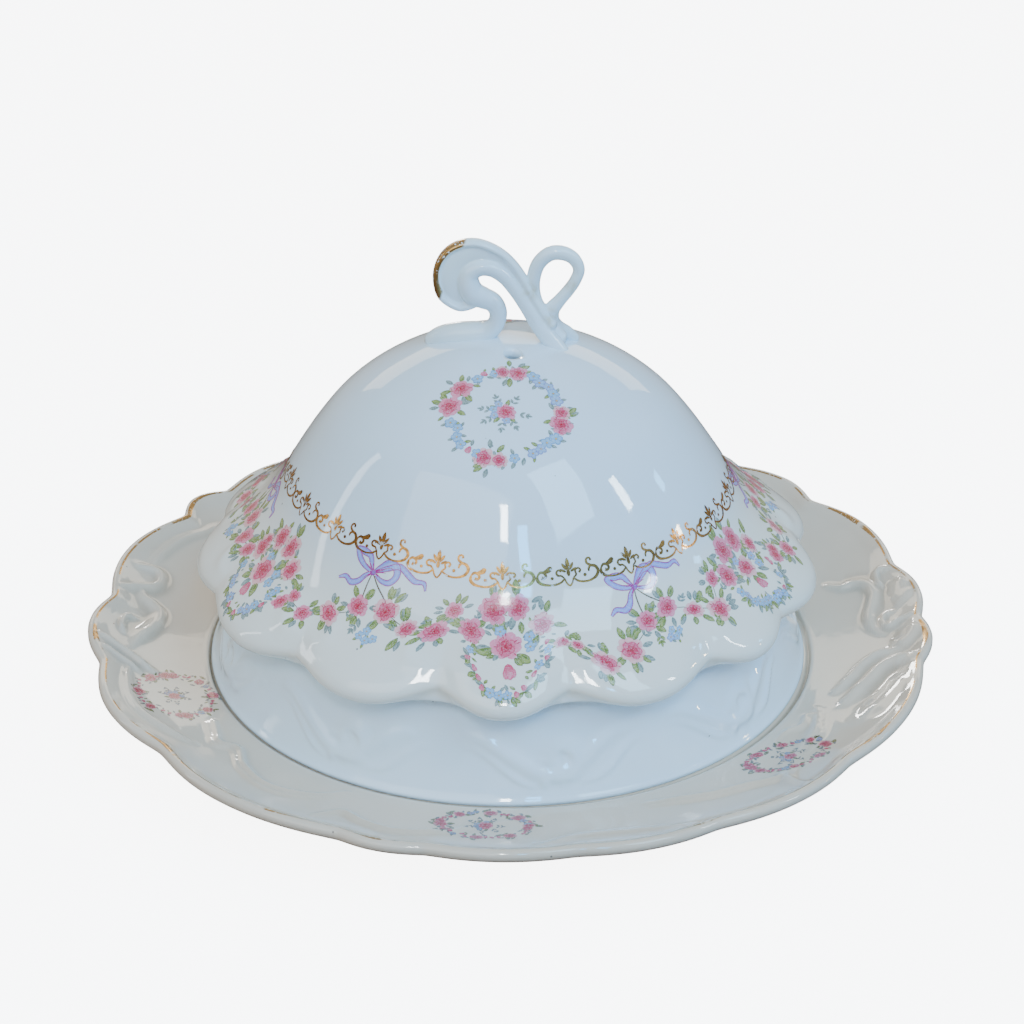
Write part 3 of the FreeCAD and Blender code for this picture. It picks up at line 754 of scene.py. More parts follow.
class Canvas:
    # Thin closed films of paint or gold on a skin: petals (lens shapes) and strokes (flattened tubes).
    # Their lift is counted in films of paint.
    def __init__(self, name, skin):
        self.name, self.skin = name, skin
        self.parts = {"verts": [], "normals": [], "tint": [], "quads": [], "tris": []}
        self.count = 0

    def keep(self, place, normal, tint, quads, tris):
        n = place.reshape(-1, 3).shape[0]
        self.parts["verts"].append(place.reshape(-1, 3))
        self.parts["normals"].append(normal.reshape(-1, 3))
        self.parts["tint"].append(tint.reshape(n, 4))
        self.parts["quads"].append(quads.reshape(-1, 4) + self.count)
        self.parts["tris"].append(tris.reshape(-1, 3) + self.count)
        self.count += n

    def petals(self, chart, rows, sides=10):
        # rows: x, y, angle, length, width, sharpness, lift, then the colours of root, tip and edge.
        q = np.array([np.hstack([np.array(r[:7], float), *(np.array(c) for c in r[7:])]) for r in rows])
        a = np.linspace(0, TAU, sides, endpoint=False)
        ux = np.concatenate([[0], 0.6 * np.cos(a), np.cos(a), [0]])
        sharp = np.abs(np.sin(a))[None, :] ** q[:, 5:6]
        pole = np.zeros((len(q), 1))
        uy = np.hstack([pole, 0.6 * np.sin(a) * sharp, np.sin(a) * sharp, pole])
        lx, ly = q[:, 3:4] * ux, q[:, 4:5] * uy
        c, s = np.cos(q[:, 2:3]), np.sin(q[:, 2:3])
        x, y = q[:, 0:1] + lx * c - ly * s, q[:, 1:2] + lx * s + ly * c
        up = np.concatenate([np.full(sides + 1, 1.0), np.full(sides, 0.8), [-1.2]]) * q[:, 6:7] * ps["film"]
        place, normal = self.skin.lifted(*chart(x, y), up)
        t = np.clip((ux + 1) / 2, 0, 1)[None, :, None]
        tint = q[:, None, 7:10] * (1 - t) + q[:, None, 10:13] * t
        edge = np.concatenate([[0], np.full(sides, 0.15), np.full(sides, 0.8), [0]])[None, :, None]
        tint = tint * (1 - edge) + q[:, None, 13:16] * edge
        tint = np.concatenate([tint, np.ones((*tint.shape[:2], 1))], -1)
        j = np.arange(sides)
        k = (j + 1) % sides
        quad = np.stack([1 + j, 1 + sides + j, 1 + sides + k, 1 + k], 1)
        top = np.stack([0 * j, 1 + j, 1 + k], 1)
        under = np.stack([0 * j + 1 + 2 * sides, 1 + sides + k, 1 + sides + j], 1)
        base = (np.arange(len(q)) * (2 * sides + 2))[:, None, None]
        self.keep(place, normal, tint, quad[None] + base, np.vstack([top, under])[None] + base)

    def stroke(self, chart, points, widths, colours, lift, step=0.3):
        # A line through the points with its half width at each, tapered to its own ends.
        keys = np.hstack([np.array(points, float), np.array(widths, float)[:, None]])
        path = evenly(hermite(keys, [12] * (len(keys) - 1)), step)
        along = unit(np.gradient(path[:, :2], axis=0))
        side = np.stack([-along[:, 1], along[:, 0]], 1)
        across = np.array([-1, -0.72, 0, 0.72, 1.0, 0])
        up = np.array([0.25, 0.85, 1.0, 0.85, 0.25, -0.9])
        xy = path[:, None, :2] + side[:, None] * (across[None, :] * path[:, 2:3])[..., None]
        n = len(path)
        x = np.concatenate([xy[..., 0].ravel(), path[[0, -1], 0]])
        y = np.concatenate([xy[..., 1].ravel(), path[[0, -1], 1]])
        rise = np.concatenate([np.tile(up, n), [0.2, 0.2]]) * lift * ps["film"]
        place, normal = self.skin.lifted(*chart(x, y), rise)
        pale, deep = colours
        t = np.concatenate([np.tile(1 - np.abs(across), n), [0, 0]])[:, None]
        tint = np.hstack([deep * (1 - t) + pale * t, np.ones((len(t), 1))])
        quads, tris = ringIndices(n, 6)
        self.keep(place, normal, tint, quads, tris)

    def finish(self, material, body):
        p = {key: np.vstack(value) for key, value in self.parts.items()}
        made = makeMesh(self.name, p["verts"], p["quads"], p["tris"], None, p["tint"], p["normals"])
        made.data.materials.append(material)
        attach(made, body)
        print(self.name, len(p["quads"]) * 2 + len(p["tris"]), "triangles")


# Each plant below is a list of rows for Canvas.petals.


def rose(rng, x, y, size):
    # Three whorls of round overlapping petals, paler outwards, about a red heart with a few dark strokes.
    rows, turn = [], rng.uniform(0, TAU)
    heart, red, blush = hue("heart"), hue("rose"), hue("blush")
    warm = hue("cream") if rng.random() < 0.5 else blush
    # How many petals, how far out, half length, half width, lift, then the colours of root, tip and edge.
    whorls = (
        (8, 0.6, 0.4, 0.36, 1.0, red, warm, red * 0.35 + warm * 0.65),
        (5, 0.36, 0.34, 0.34, 1.4,
         heart * 0.35 + red * 0.65, red * 0.5 + blush * 0.5, heart * 0.3 + red * 0.7),
        (3, 0.17, 0.25, 0.24, 1.8, heart * 0.7 + red * 0.3, red, heart),
    )
    for whorl, (n, away, long, wide, lift, *colours) in enumerate(whorls):
        for k in range(n):
            a = turn + whorl * 0.5 + k * TAU / n + rng.normal(0, 0.12)
            d, g = size * away * rng.uniform(0.84, 1.1), size * rng.uniform(0.8, 1.15)
            rows.append((*polar(x, y, d, a), a, g * long, g * wide, 0.1, lift, *colours))
    rows.append((x, y, turn, size * 0.17, size * 0.13, 0.0, 2.2, heart, heart, red))
    for k in range(9):
        a = turn + k * 1.31
        place = polar(x, y, size * rng.uniform(0.3, 0.8), a)
        rows.append((*place, a, size * 0.15, size * 0.035, 0.4, 2.1, heart, red, red * 0.7))
    return rows


def bud(x, y, size, angle):
    # Three cupped petals opening towards angle.
    heart, red = hue("heart"), hue("rose")
    rows = []
    for turn, long, wide, lift in ((0.45, 0.62, 0.36, 1.0), (-0.45, 0.62, 0.36, 1.2), (0, 0.66, 0.34, 1.4)):
        a = angle + turn
        rows.append((*polar(x, y, 0.2 * size, a), a, size * long, size * wide, 0.15, lift,
                     heart * 0.5 + red * 0.5, hue("blush"), red))
    return rows


def bloom(rng, x, y, size, violet=0.3):
    # A forget-me-not: five round petals about a yellow eye.
    rows, turn = [], rng.uniform(0, TAU)
    base, pale, eye = hue("violet") if rng.random() < violet else hue("blue"), hue("blueTip"), hue("eye")
    for k in range(5):
        a = turn + k * TAU / 5 + rng.normal(0, 0.08)
        rows.append((*polar(x, y, size * 0.5, a), a, size * 0.42, size * 0.38, 0.0, 1.2,
                     pale, pale * 0.7 + base * 0.3, base))
    rows.append((x, y, 0, size * 0.16, size * 0.16, 0.0, 1.8, eye, eye, hue("stem")))
    return rows


def leaf(rng, x, y, size, angle, grey=False):
    # A pointed leaf growing from (x, y), one side of its midrib darker.
    cx, cy = polar(x, y, size * 0.5, angle)
    root, tip = (hue("grey"), hue("greyTip")) if grey else (hue("leaf"), hue("leafTip"))
    edge = root * (0.8, 0.85, 0.9) if grey else root * (0.85, 0.6, 0.6)
    side = polar(cx, cy, rng.choice((-1, 1)) * size * 0.09, angle + math.pi / 2)
    return [
        (cx, cy, angle, size * 0.5, size * 0.24, 0.7, 0.8, root, tip, edge),
        (*side, angle, size * 0.4, size * 0.07, 0.6, 1.0, root * 0.85, root, tip),
    ]


def spray(rng, x, y, length, angle, grey, size):
    # A twig with two pairs of leaves and one at its end.
    rows = []
    for k in range(2):
        joint = polar(x, y, length * (k + 1) / 2.5, angle)
        for side in (-1, 1):
            rows += leaf(rng, *joint, size * (1.1 - 0.2 * k), angle + side * rng.uniform(0.6, 0.95), grey)
    return rows + leaf(rng, *polar(x, y, length * 0.9, angle), size, angle, grey)


def cluster(rng, x, y, size, outward, roses=2, green=3, grey=2):
    # Roses side by side with leaves sticking out from behind them.
    rows = []
    for k in range(green):
        a = outward + rng.uniform(-1, 1) + (k % 2) * math.pi * rng.uniform(0.8, 1.1)
        rows += leaf(rng, *polar(x, y, size * 0.7, a), size * rng.uniform(0.85, 1.2), a)
    for k in range(grey):
        a = outward + rng.uniform(-1.6, 1.6) + (k % 2) * math.pi
        rows += leaf(rng, *polar(x, y, size * 0.9, a), size * 0.85, a, True)
    for k in range(roses):
        px, py = polar(x, y, (k - (roses - 1) / 2) * size * 1.25, outward + math.pi / 2)
        rows += rose(rng, px + rng.normal(0, 0.15), py + rng.normal(0, 0.15),
                     size * rng.uniform(0.8, 1.08) * (1 if k == 0 else 0.85))
    return rows


def wreath(rng, radius, groups, roseSize, blueSize, tall=1.0, blues=0.8):
    # A ring of forget-me-nots and leaves, broken by clusters of roses at the angles in groups.
    rows, steps = [], int(TAU * radius / (blueSize * 1.28))
    for k in range(steps):
        angle = k * 360 / steps
        away = min((abs(wrap(angle - g)) * math.radians(1) * radius for g, _ in groups), default=99)
        a = math.radians(angle)
        r = radius + rng.normal(0, 0.5)
        if away > roseSize * 1.1:
            x, y = polar(0, 0, r, a)
            pick = rng.random()
            if pick < blues:
                rows += bloom(rng, x, y, blueSize * rng.uniform(0.8, 1.1))
            elif pick < 0.9:
                rows += bud(x, y, blueSize * 0.9, a + rng.uniform(-1.5, 1.5))
        for side in (-1, 1):
            if rng.random() < 0.8:
                place = polar(0, 0, r + side * blueSize * 0.5, a)
                rows += leaf(rng, *place, blueSize * rng.uniform(0.8, 1.25),
                             a + (0 if side > 0 else math.pi) + rng.uniform(-0.9, 0.9), rng.random() < 0.6)
    for angle, roses in groups:
        a = math.radians(angle)
        rows += cluster(rng, *polar(0, 0, radius, a), roseSize, a, roses)
    return [(x, y * tall, *rest) for x, y, *rest in rows]


def posy(rng, size):
    # A rose among forget-me-nots with grey sprays all round.
    rows = []
    for k in range(7):
        a = k * TAU / 7 + rng.uniform(-0.2, 0.2)
        x, y = size * 0.9 * math.cos(a), size * 0.7 * math.sin(a)
        rows += spray(rng, x, y, size * 1.3, a, True, size * 0.5)
    for a in (2.6, 5.4, 1.3, 4.0):
        rows += leaf(rng, *polar(0, 0, size * 0.6, a), size * 0.95, a)
    for x, y in ((-1.0, 0.35), (-0.55, 0.95), (-0.95, -0.35), (0.15, -0.95)):
        rows += bloom(rng, x * size, y * size, size * 0.45, 0.5)
    return rows + rose(rng, size * 0.1, 0, size)


def turnedBy(path, degrees):
    c, s = math.cos(math.radians(degrees)), math.sin(math.radians(degrees))
    return [(x * c - y * s, x * s + y * c) for x, y in path]


def bow(canvas, chart, turn):
    # Two loops, a knot and two tails of ribbon, edged with magenta; two strings hang from the knot.
    ribbon, edge = (hue("ribbonTip"), hue("ribbon")), (hue("magenta"), hue("magenta"))
    loops = [
        ([(0, 0), (-2.2, 1.0), (-4.2, 2.8), (-4.9, 4.6), (-3.4, 4.4), (-1.4, 3.6), (-0.6, 1.6),
         (-0.2, 0.2)], [0.2, 0.45, 0.6, 0.55, 0.7, 0.6, 0.4, 0.2]),
        ([(0, 0), (1.8, 1.4), (4.0, 2.6), (5.6, 2.0), (6.0, 0.2), (4.4, -1.7), (2.6, -1.5), (0.8, -0.4)],
         [0.25, 0.6, 0.85, 0.8, 0.7, 0.6, 0.45, 0.25]),
        ([(-0.3, 0.1), (-1.8, -0.9), (-3.4, -2.6), (-5.2, -3.2), (-7.0, -2.2), (-8.9, -2.9)], [0.25, 0.45,
         0.6, 0.65, 0.5, 0.2]),
        ([(0.4, 0.2), (3.4, 1.4), (6.6, 2.2), (8.6, 0.8), (10.6, -0.6), (12.8, -0.9), (13.4, -2.6)], [0.25,
         0.5, 0.6, 0.6, 0.55, 0.4, 0.15]),
    ]
    for path, widths in loops:
        path = turnedBy(path, turn)
        widths = np.array(widths) * 1.25
        canvas.stroke(chart, path, widths, ribbon, 1.2)
        line = np.array(path, float)
        side = np.gradient(line, axis=0)
        side = np.stack([-side[:, 1], side[:, 0]], 1)
        for sign in (-1, 1):
            shifted = line + sign * unit(side) * widths[:, None] * 0.9
            canvas.stroke(chart, shifted, [0.1] * len(line), edge, 1.9)
    creases = (-2.6, 1.9), (-1.6, 2.4), (2.6, 1.3), (3.2, 0.4), (-2.4, -1.6), (3, 1.3), (-0.4, 2), (1.6, -0.8)
    for x, y in creases:
        ends = [(0, 0), (x * 0.5 + 0.1, y * 0.5 + 0.15), (x, y)]
        canvas.stroke(chart, turnedBy(ends, turn), [0.2, 0.14, 0.05], edge, 1.7)
    strings = (
        [(-0.2, -0.4), (-0.5, -2.8), (-0.5, -5.4), (-0.3, -7.6)],
        [(0.3, -0.4), (2.0, -2.4), (4.2, -4.4), (6.0, -6.0)],
    )
    for path in strings:
        canvas.stroke(chart, path, [0.12, 0.17, 0.17, 0.12], (hue("stem"), hue("leaf")), 1.0)
    knot = (0, 0.05, 0.2, 0.85, 0.7, 0.0, 2.2, hue("magenta"), hue("ribbon"), hue("magenta"))
    canvas.petals(chart, [knot])


wreathPaint = Canvas("cover_wreath_transfers", cover)
garlandPaint = Canvas("cover_garland_transfers", cover)
frillAt = cover.knots[12] + 0.5
for k in range(6):
    # The sheets of transfers were laid by hand: wreaths and garlands each sit a little off their place.
    rng = np.random.default_rng(40 + k)
    at = cover.around(-90 + 60 * k + fs["wreathOff"][k], frillAt)
    ring = wreath(rng, 8.9, [(76, 1), (112, 1), (156, 1), (34, 1)], 3.3, 1.4, 1.13, 0.6)
    ring += cluster(rng, 12.2, -1.6, 2.6, 0.2, 1, 3, 1)
    for a in (198, 216, 235, 254, 272, 290, 309, 330):
        x, y = 9.3 * math.cos(math.radians(a)), 10.6 * math.sin(math.radians(a))
        for side in (-1, 1, 0.3):
            ring += leaf(rng, x, y, 2.6, math.radians(a) + side * rng.uniform(0.5, 1.6), rng.random() < 0.5)
    wreathPaint.petals(at, [(x + 0.6, y + 3.3, *rest) for x, y, *rest in ring])
    middle = cluster(rng, 0.2, 4.7, 4.1, 1.6, 1, 6, 4) + bud(0.4, -0.9, 3.0, -1.4)
    for row in fs["middleLeaves"]:
        middle += leaf(rng, *row)
    for row in fs["middleBlooms"]:
        middle += bloom(rng, *row)
    for row in fs["outerLeaves"]:
        middle += leaf(rng, *row, True)
    wreathPaint.petals(at, middle)
    # The garland hangs from the bow's strings; x and y are from the bow's knot.
    shift, up = fs["bowOff"][k]
    at = cover.around(-60 + 60 * k + shift, frillAt - up)
    swag = []
    for x, y, size, roses in fs["garland"]:
        swag += cluster(rng, x, y, size * 1.14, rng.uniform(1.2, 1.9), roses, 6, 4)
    for x, y in ((3.2, -14.6), (5.0, -15.4), (4.4, -13.2), (6.6, -14.6)):
        swag += bloom(rng, x, y, 1.25) + leaf(rng, x, y - 0.6, 1.5, rng.uniform(3.5, 6), rng.random() < 0.5)
    for x, y, a in fs["twigs"]:
        swag += spray(rng, x, y, 2.6, a, rng.random() < 0.5, 1.5)
    garlandPaint.petals(at, swag)
    for path in fs["stems"]:
        garlandPaint.stroke(at, path, [0.08, 0.12, 0.12, 0.08], (hue("stem"), hue("leaf")), 0.7)
    bow(garlandPaint, at, fs["bowTurn"][k])
wreathPaint.finish(transferInk, "cover")
garlandPaint.finish(transferInk, "cover")

domePaint = Canvas("cover_dome_transfers", cover)


def domeChart(angle, distance):
    # A flat chart laid against the dome at a distance from the axis, pushed on to it from the dome's centre.
    ball, level = 56.0, 32.0
    tilt = math.asin(distance / ball)
    a = math.radians(angle)
    up = np.array([-math.cos(a) * math.cos(tilt), -math.sin(a) * math.cos(tilt), math.sin(tilt)])
    right = np.array([-math.sin(a), math.cos(a), 0])
    out = np.array([math.cos(a) * math.sin(tilt), math.sin(a) * math.sin(tilt), math.cos(tilt)])
    reach = cover.knots[9]

    def chart(x, y):
        p = unit(out * ball + x[..., None] * right + y[..., None] * up) * ball
        r = np.hypot(p[..., 0], p[..., 1])
        within = cover.length < reach
        down = np.interp(r, cover.fine[within, 0], cover.length[within])
        return np.degrees(np.arctan2(p[..., 1], p[..., 0])), down

    return chart


for k, angle in enumerate((-90, 90)):
    rng = np.random.default_rng(7 + k)
    at = domeChart(angle, 27.3)
    domePaint.petals(at, wreath(rng, 13.0, [(84, 2), (-4, 2), (-104, 2), (168, 1), (142, 1)], 3.0, 1.75))
    domePaint.petals(at, posy(rng, 2.5))
domePaint.finish(transferInk, "cover")

dishPaint = Canvas("dish_transfers", dish)
for k, (angle, inside, flat, tilt) in enumerate(ds["medallions"]):
    rng = np.random.default_rng(90 + k)
    at = dish.around(angle, dish.knots[7] - inside)
    rows = wreath(rng, 9.6, ds["medallionRoses"], 1.75, 1.1, flat, 0.16)
    rows += posy(rng, 1.8)
    # Each wreath is tilted and looks inwards, so its y is turned over.
    places = turnedBy([r[:2] for r in rows], tilt)
    dull = np.array(ps["dull"])
    rows = [(x, -y, *r[2:7], *(c * dull for c in r[7:])) for (x, y), r in zip(places, rows)]
    dishPaint.petals(at, rows, 8)
dishPaint.finish(transferInk, "dish")

bandSettings = {
    "count": 23,
    "lift": 2,
    "start": -90.8,
    # The band was laid on in two lengths; one ends higher than the other.
    "rise": (-93, -118, 2.9),
    # Each line: its points from the motif's centre, in mm, and its half widths.
    "lines": [
        ([(-6.9, 2.5), (-7.1, 1.5), (-6.5, 0.7), (-5.2, 0.25), (-3.4, 0.15), (-1.9, 0.55), (-1, 1.3)],
         [0.16, 0.3, 0.3, 0.22, 0.2, 0.2, 0.16]),
        ([(-6.9, 2.5), (-6.2, 3.1), (-5.4, 2.9), (-5.1, 2.2), (-5.6, 1.7), (-6.1, 1.9)], [0.16, 0.24, 0.26,
         0.24, 0.24, 0.34]),
        ([(-5.6, 3.1), (-4.7, 3.3), (-4, 3.7)], [0.2, 0.42, 0.46]),
        ([(-1, 1.3), (-0.7, 0.4), (0, -0.35), (0.7, 0.4), (1, 1.3)], [0.16, 0.16, 0.17, 0.16, 0.16]),
        ([(-1, 1.3), (-1.7, 2), (-2.4, 2.1), (-2.7, 2.8), (-2.1, 3.3), (-1.6, 2.9)], [0.14, 0.18, 0.2,
         0.2, 0.18, 0.22]),
        ([(1, 1.3), (1.7, 1.9), (1.6, 2.9), (2.3, 3.3), (2.8, 2.8), (2.4, 2.3)], [0.14, 0.18, 0.18, 0.18,
         0.18, 0.22]),
        ([(1, 1.3), (1.9, 0.55), (3.4, 0.15), (5.1, 0.3), (6.4, 1), (6.9, 2.1), (6.3, 3.1), (5.2, 3.5),
         (4.4, 4.2), (4.5, 5), (5.2, 5.1), (5.4, 4.5)], [0.16, 0.2, 0.2, 0.22, 0.28, 0.3, 0.28, 0.24,
         0.22, 0.2, 0.18, 0.2]),
        ([(5.3, 3.4), (4.8, 2.9), (4.7, 2.2)], [0.18, 0.22, 0.14]),
    ],
    # Filled shapes: x, y, angle in degrees, half length, half width, sharpness.
    "fills": [
        (-3.8, 1.6, 0, 0.36, 0.36, 0), (3.7, 1.6, 0, 0.38, 0.38, 0), (0, 4.5, 90, 1.35, 0.5, 0.5),
        (-0.8, 3.9, 122, 1, 0.36, 0.3), (0.8, 3.9, 58, 1, 0.36, 0.3), (-1.2, 3.1, 152, 0.8, 0.3, 0.3),
        (1.2, 3.1, 28, 0.8, 0.3, 0.3), (0, 2.5, 90, 0.8, 0.42, 0.2), (-4.1, 3.75, 30, 0.62, 0.5, 0),
    ],
}
bs = bandSettings
band = Canvas("gold_band", cover)
white = np.ones(3)
for k in range(bs["count"]):
    angle = wrap(bs["start"] + 360 * k / bs["count"])
    near, far, most = bs["rise"]
    high = most * smoothStep(-near, -far, -angle) * (1 - smoothStep(170, 180, -angle))
    at = cover.around(angle, cover.knots[9] + 0.3 - high)
    for points, widths in bs["lines"]:
        band.stroke(at, points, np.array(widths) * 1.25, (white, white), bs["lift"], 0.22)
    plain = (bs["lift"], white, white, white)
    band.petals(at, [(x, y, math.radians(a), *rest, *plain) for x, y, a, *rest in bs["fills"]], 12)
band.finish(goldLeaf, "cover")


# ---- handle ----

handleSettings = {
    # Each strand: centre line from root to tip, half width at each point, and the factor for its half depth.
    "rim": (
        [
            (10.6, 0.2, 90.2), (7.8, 0.2, 94.2), (5.2, 0.1, 98.6), (3, 0, 102.6), (0.9, 0, 105.9),
            (-1.5, 0, 108.4), (-4.4, 0, 110.2), (-8.1, 0, 111.3), (-11.3, 0, 110.9), (-14.1, 0, 109.3),
            (-15.9, 0, 106.9), (-16.75, 0, 104.2), (-16.75, 0, 101.2), (-15.9, 0, 98.5), (-13.9, 0, 96.7),
            (-11.4, 0, 95.7), (-9.1, 0, 96.2), (-7, 0, 97.2),
        ],
        [1.6, 1.4, 1.2, 1.1, 1, 0.95, 0.95, 0.95, 0.95, 0.95, 0.95, 0.95, 0.95, 1, 1.05, 1.1, 1.1, 1],
        1.9,
    ),
    "band": (
        [
            (9.4, 0, 89.6), (6.6, 0, 94), (4.2, 0, 98.4), (1.6, 0, 102.8), (-1, 0, 106),
            (-4.2, 0, 108), (-7.8, 0, 108.7), (-11.2, 0, 107.6), (-13.3, 0, 105.2), (-13.8, 0, 102.3),
            (-13, 0, 99.6), (-11.2, 0, 97.8), (-8.8, 0, 97.4),
        ],
        [2.6, 2.4, 2.2, 2, 2.2, 2.5, 2.8, 3, 3.1, 3.1, 2.9, 2.3, 1.5],
        0.4,
    ),
    "curl": (
        [
            (14.2, -3.2, 82.6), (10.4, -1.8, 86.9), (6.9, -1.1, 91.2), (4, -0.8, 95.9), (1.2, -0.7, 100.2),
            (-1.6, -0.6, 103.5), (-4.4, -0.6, 105.2), (-7.2, -0.6, 105.3), (-9.2, -0.5, 103.9),
            (-9.5, -0.4, 101.6), (-8.6, -0.4, 99.2), (-6.2, -0.3, 97.9), (-3.9, -0.2, 96.7),
            (-2.7, -0.1, 94.2), (-3.1, 0, 91.7), (-5, 0.8, 89.3), (-8.5, 1.8, 88.2), (-12.5, 2.8, 87.5),
            (-16.4, 4, 86.4), (-20, 5.4, 84.4),
        ],
        [
            1.5, 2.1, 2, 1.8, 1.75, 1.8, 1.9, 2, 2.2, 2.6, 2.8, 2.55, 2.3, 2.1, 2.05, 2.4, 2.9, 2.9, 2.5,
            1.4,
        ],
        1.05,
    ),
    "loop": (
        [
            (12.4, 0.6, 86), (9.2, 0.5, 90.2), (6.9, 0.4, 94.4), (5.5, 0.2, 98.8), (5.5, 0, 102.8),
            (6.9, 0, 106.6), (9.6, 0, 108.7), (12.2, 0, 108.7), (14.6, 0, 107.4), (15.9, 0, 104.7),
            (15.1, 0, 102.1), (13.5, 0, 99.6), (11.4, 0, 97), (9.7, 0.2, 94.6), (9.5, 0.8, 92),
            (10.9, 2.4, 89.4), (13.4, 4.2, 87.2), (16.2, 6, 84.6),
        ],
        [2.4, 2.1, 1.8, 1.65, 1.65, 1.7, 1.75, 1.7, 1.55, 1.4, 1.4, 1.45, 1.55, 1.9, 2.1, 2, 1.8, 1.1],
        1,
    ),
}
print("handle")
hs = handleSettings


def tube(strand, around=28):
    # Rings round a strand's centre line; the half widths lie in the scroll's plane.
    centres, widths, depth = hs[strand]
    keys = np.hstack([np.array(centres, float), np.array(widths, float)[:, None]])
    path = evenly(hermite(keys, [14] * (len(keys) - 1)), 0.35)
    place, wide = path[:, :3], path[:, 3:]
    along = unit(np.gradient(place, axis=0))
    out = unit(np.cross(along, [0, 1, 0]))
    deep = unit(np.cross(out, along))
    a = np.linspace(0, TAU, around, endpoint=False)
    step = np.arange(len(path))
    wide = wide * np.sqrt(np.clip(np.minimum(step, step[::-1]) / 4, 0.15, 1))[:, None]
    c, s = np.cos(a)[None, :, None], np.sin(a)[None, :, None]
    rings = place[:, None] + (out * wide)[:, None] * c + (deep * wide * depth)[:, None] * s
    return rings, place[0], place[-1]


def joined(name, tubes, voxel, smooth):
    # Several tubes melted into one skin, as slip does.
    verts, quads, tris, start = [], [], [], 0
    for rings, first, last in tubes:
        q, t = ringIndices(*rings.shape[:2], start)
        verts += [rings.reshape(-1, 3), [first], [last]]
        quads.append(q)
        tris.append(t)
        start += rings.shape[0] * rings.shape[1] + 2
    made = makeMesh(name, np.vstack(verts), np.vstack(quads), np.vstack(tris))
    melt = made.modifiers.new("melt", "REMESH")
    melt.mode = "VOXEL"
    melt.voxel_size = voxel * MM
    melt.use_smooth_shade = True
    soften = made.modifiers.new("soften", "SMOOTH")
    soften.factor = 0.5
    soften.iterations = smooth
    return made


handleScroll = joined("handle_scroll_cast", [tube("rim"), tube("band", 40), tube("curl")], 0.22, 7)
handleLoop = joined("handle_loop_cast", [tube("loop")], 0.24, 6)
for piece, node in ((handleScroll, "handle_scroll"), (handleLoop, "handle_loop")):
    piece.data.materials.append(handleGlaze)
    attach(piece, "cover")
    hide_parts(node)

# ---- drainer ----

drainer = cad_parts["drainer"]
drainer.data.materials.clear()
drainer.data.materials.append(plainGlaze)


# ---- camera, light, floor ----

viewSettings = {"from": (0.0005, -0.4714, 0.2833), "pitch": -27.1, "lens": 76.6}
# Name, place, target, size, power, colour.
lampSettings = [
    ("wall_left", (-0.80, -1.33, 1.25), (0, 0, 0.05), (1.8, 1.2), 14, (0.97, 0.99, 1.0)),
    ("sky_right", (0.8, -0.9, 1.5), (0, 0, 0.05), (0.7, 0.9), 17, (0.40, 0.72, 1.0)),
    ("window_back", (0.0, 1.75, 0.80), (0, 0, 0.05), (2.4, 0.45), 8, (1.0, 0.88, 0.70)),
    ("window_high", (-0.3, 1.8, 0.45), (0, 0, 0.05), (0.16, 0.26), 3.6, (1.0, 0.98, 0.94)),
    ("window_side", (1.35, -0.35, 1.0), (0, 0, 0.05), (0.12, 0.30), 4.5, (0.80, 0.92, 1.0)),
    ("window_left", (-1.8, 0.25, 0.78), (0, 0, 0.05), (0.13, 1.0), 2.6, (0.90, 0.95, 1.0)),
    ("window_front", (0.27, -1.55, 1.22), (0, 0, 0.05), (0.15, 0.36), 5.0, (0.05, 0.46, 1.0)),
    ("window_slit", (-0.02, -1.45, 1.42), (0, 0, 0.05), (0.11, 0.32), 7.5, (0.94, 0.98, 1.0)),
    ("window_right", (1.8, 0.32, 0.82), (0, 0, 0.05), (0.12, 0.15), 0.9, (0.15, 0.56, 1.0)),
    ("lamp_right", (1.5, 0.1, 0.46), (0, 0, 0.04), (0.07, 0.07), 1.0, (1.0, 0.80, 0.50)),
]
roomSettings = {
    "strength": 0.66,
    # The brightness of the white that the camera sees past the floor.
    "page": 40.0,
    "base": (0.76, 0.73, 0.68),
    # Direction, where the colour begins and is full (cosines), the colour.
    "layers": [
        ((0.0, 0.15, 1.0), 0.2, 0.9, (0.79, 0.98, 1.25)),
        ((0.60, -0.78, 0.15), -0.15, 0.75, (0.38, 0.80, 1.42)),
        ((0.0, 1.0, 0.3), 0.3, 0.95, (0.86, 0.75, 0.60)),
        ((-0.85, -0.5, 0.05), 0.3, 0.95, (0.62, 0.56, 0.47)),
        ((0.0, 0.0, -1.0), 0.0, 0.5, (0.26, 0.23, 0.19)),
    ],
}
print("camera and light")
camera = bpy.data.objects.new("camera", bpy.data.cameras.new("camera"))
camera.location = viewSettings["from"]
camera.rotation_euler = (math.radians(90 + viewSettings["pitch"]), 0, 0)
camera.data.lens = viewSettings["lens"]
camera.data.sensor_width = 36
camera.data.clip_start, camera.data.clip_end = 0.01, 50
bpy.context.scene.collection.objects.link(camera)
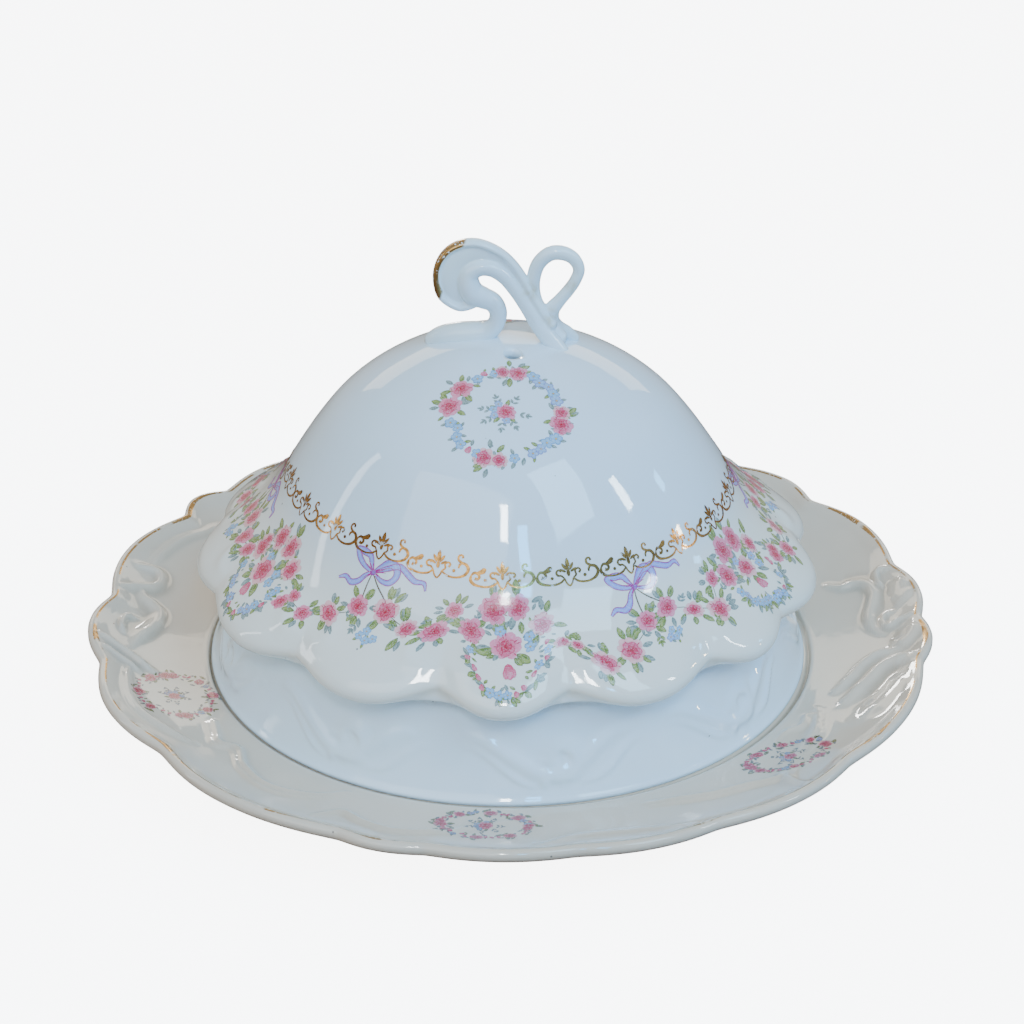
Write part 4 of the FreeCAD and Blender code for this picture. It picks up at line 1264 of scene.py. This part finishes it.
bpy.context.scene.camera = camera


def panel(name, place, target, size, power, colour):
    light = bpy.data.lights.new(name, "AREA")
    light.shape = "RECTANGLE"
    light.size, light.size_y = size
    light.energy, light.color = power, colour
    made = bpy.data.objects.new(name, light)
    made.location = place
    made.rotation_euler = (Vector(target) - Vector(place)).to_track_quat("-Z", "Y").to_euler()
    bpy.context.scene.collection.objects.link(made)


for lamp in lampSettings:
    panel(*lamp)

# The room: warm behind and above, cool from the front and the right, darker near the floor.
room = Graph(bpy.data.worlds.new("room"))
bpy.context.scene.world = room.owner
view = room.node("TexCoord", output="Generated")
colour = roomSettings["base"]
for direction, low, high, tone in roomSettings["layers"]:
    toward = Vector(direction).normalized()
    facing = room.node("VectorMath", {"operation": "DOT_PRODUCT"}, [view, toward], "Value")
    colour = room.mix(facing.ramp(low, high), colour, tone)
seen = room.node("LightPath", output="Is Camera Ray")
walls = room.node("Background", None, [colour, roomSettings["strength"]])
page = room.node("Background", None, [(1, 1, 1, 1), roomSettings["page"]])
room.node("OutputWorld", None, [room.node("MixShader", None, [seen, walls, page])])

# A plain pale floor, in metres. It is open from below, and the room's floor colour lights the piece.
floorSettings = {"level": -0.0004, "half": 6.0, "tone": (0.92, 0.92, 0.91), "glow": 7.0}
print("floor")
level, half = floorSettings["level"] / MM, floorSettings["half"] / MM
corners = np.array([(x * half, y * half, level) for x, y in ((-1, -1), (1, -1), (1, 1), (-1, 1))])
floor = makeMesh("floor", corners, np.array([[0, 1, 2, 3]]), np.zeros((0, 3), int))
floor.visible_diffuse = floor.visible_glossy = floor.visible_shadow = False
g = Graph(bpy.data.materials.new("floor"))
pale = g.node("BsdfDiffuse", None, {"Color": (*floorSettings["tone"], 1)})
glow = g.node("Emission", None, {"Strength": floorSettings["glow"]})
above = g.node("AddShader", None, [pale, glow])
below = g.node("BsdfTransparent")
either = g.node("MixShader", None, [g.node("NewGeometry", output="Backfacing"), above, below])
g.node("OutputMaterial", None, [either])
floor.data.materials.append(g.owner)
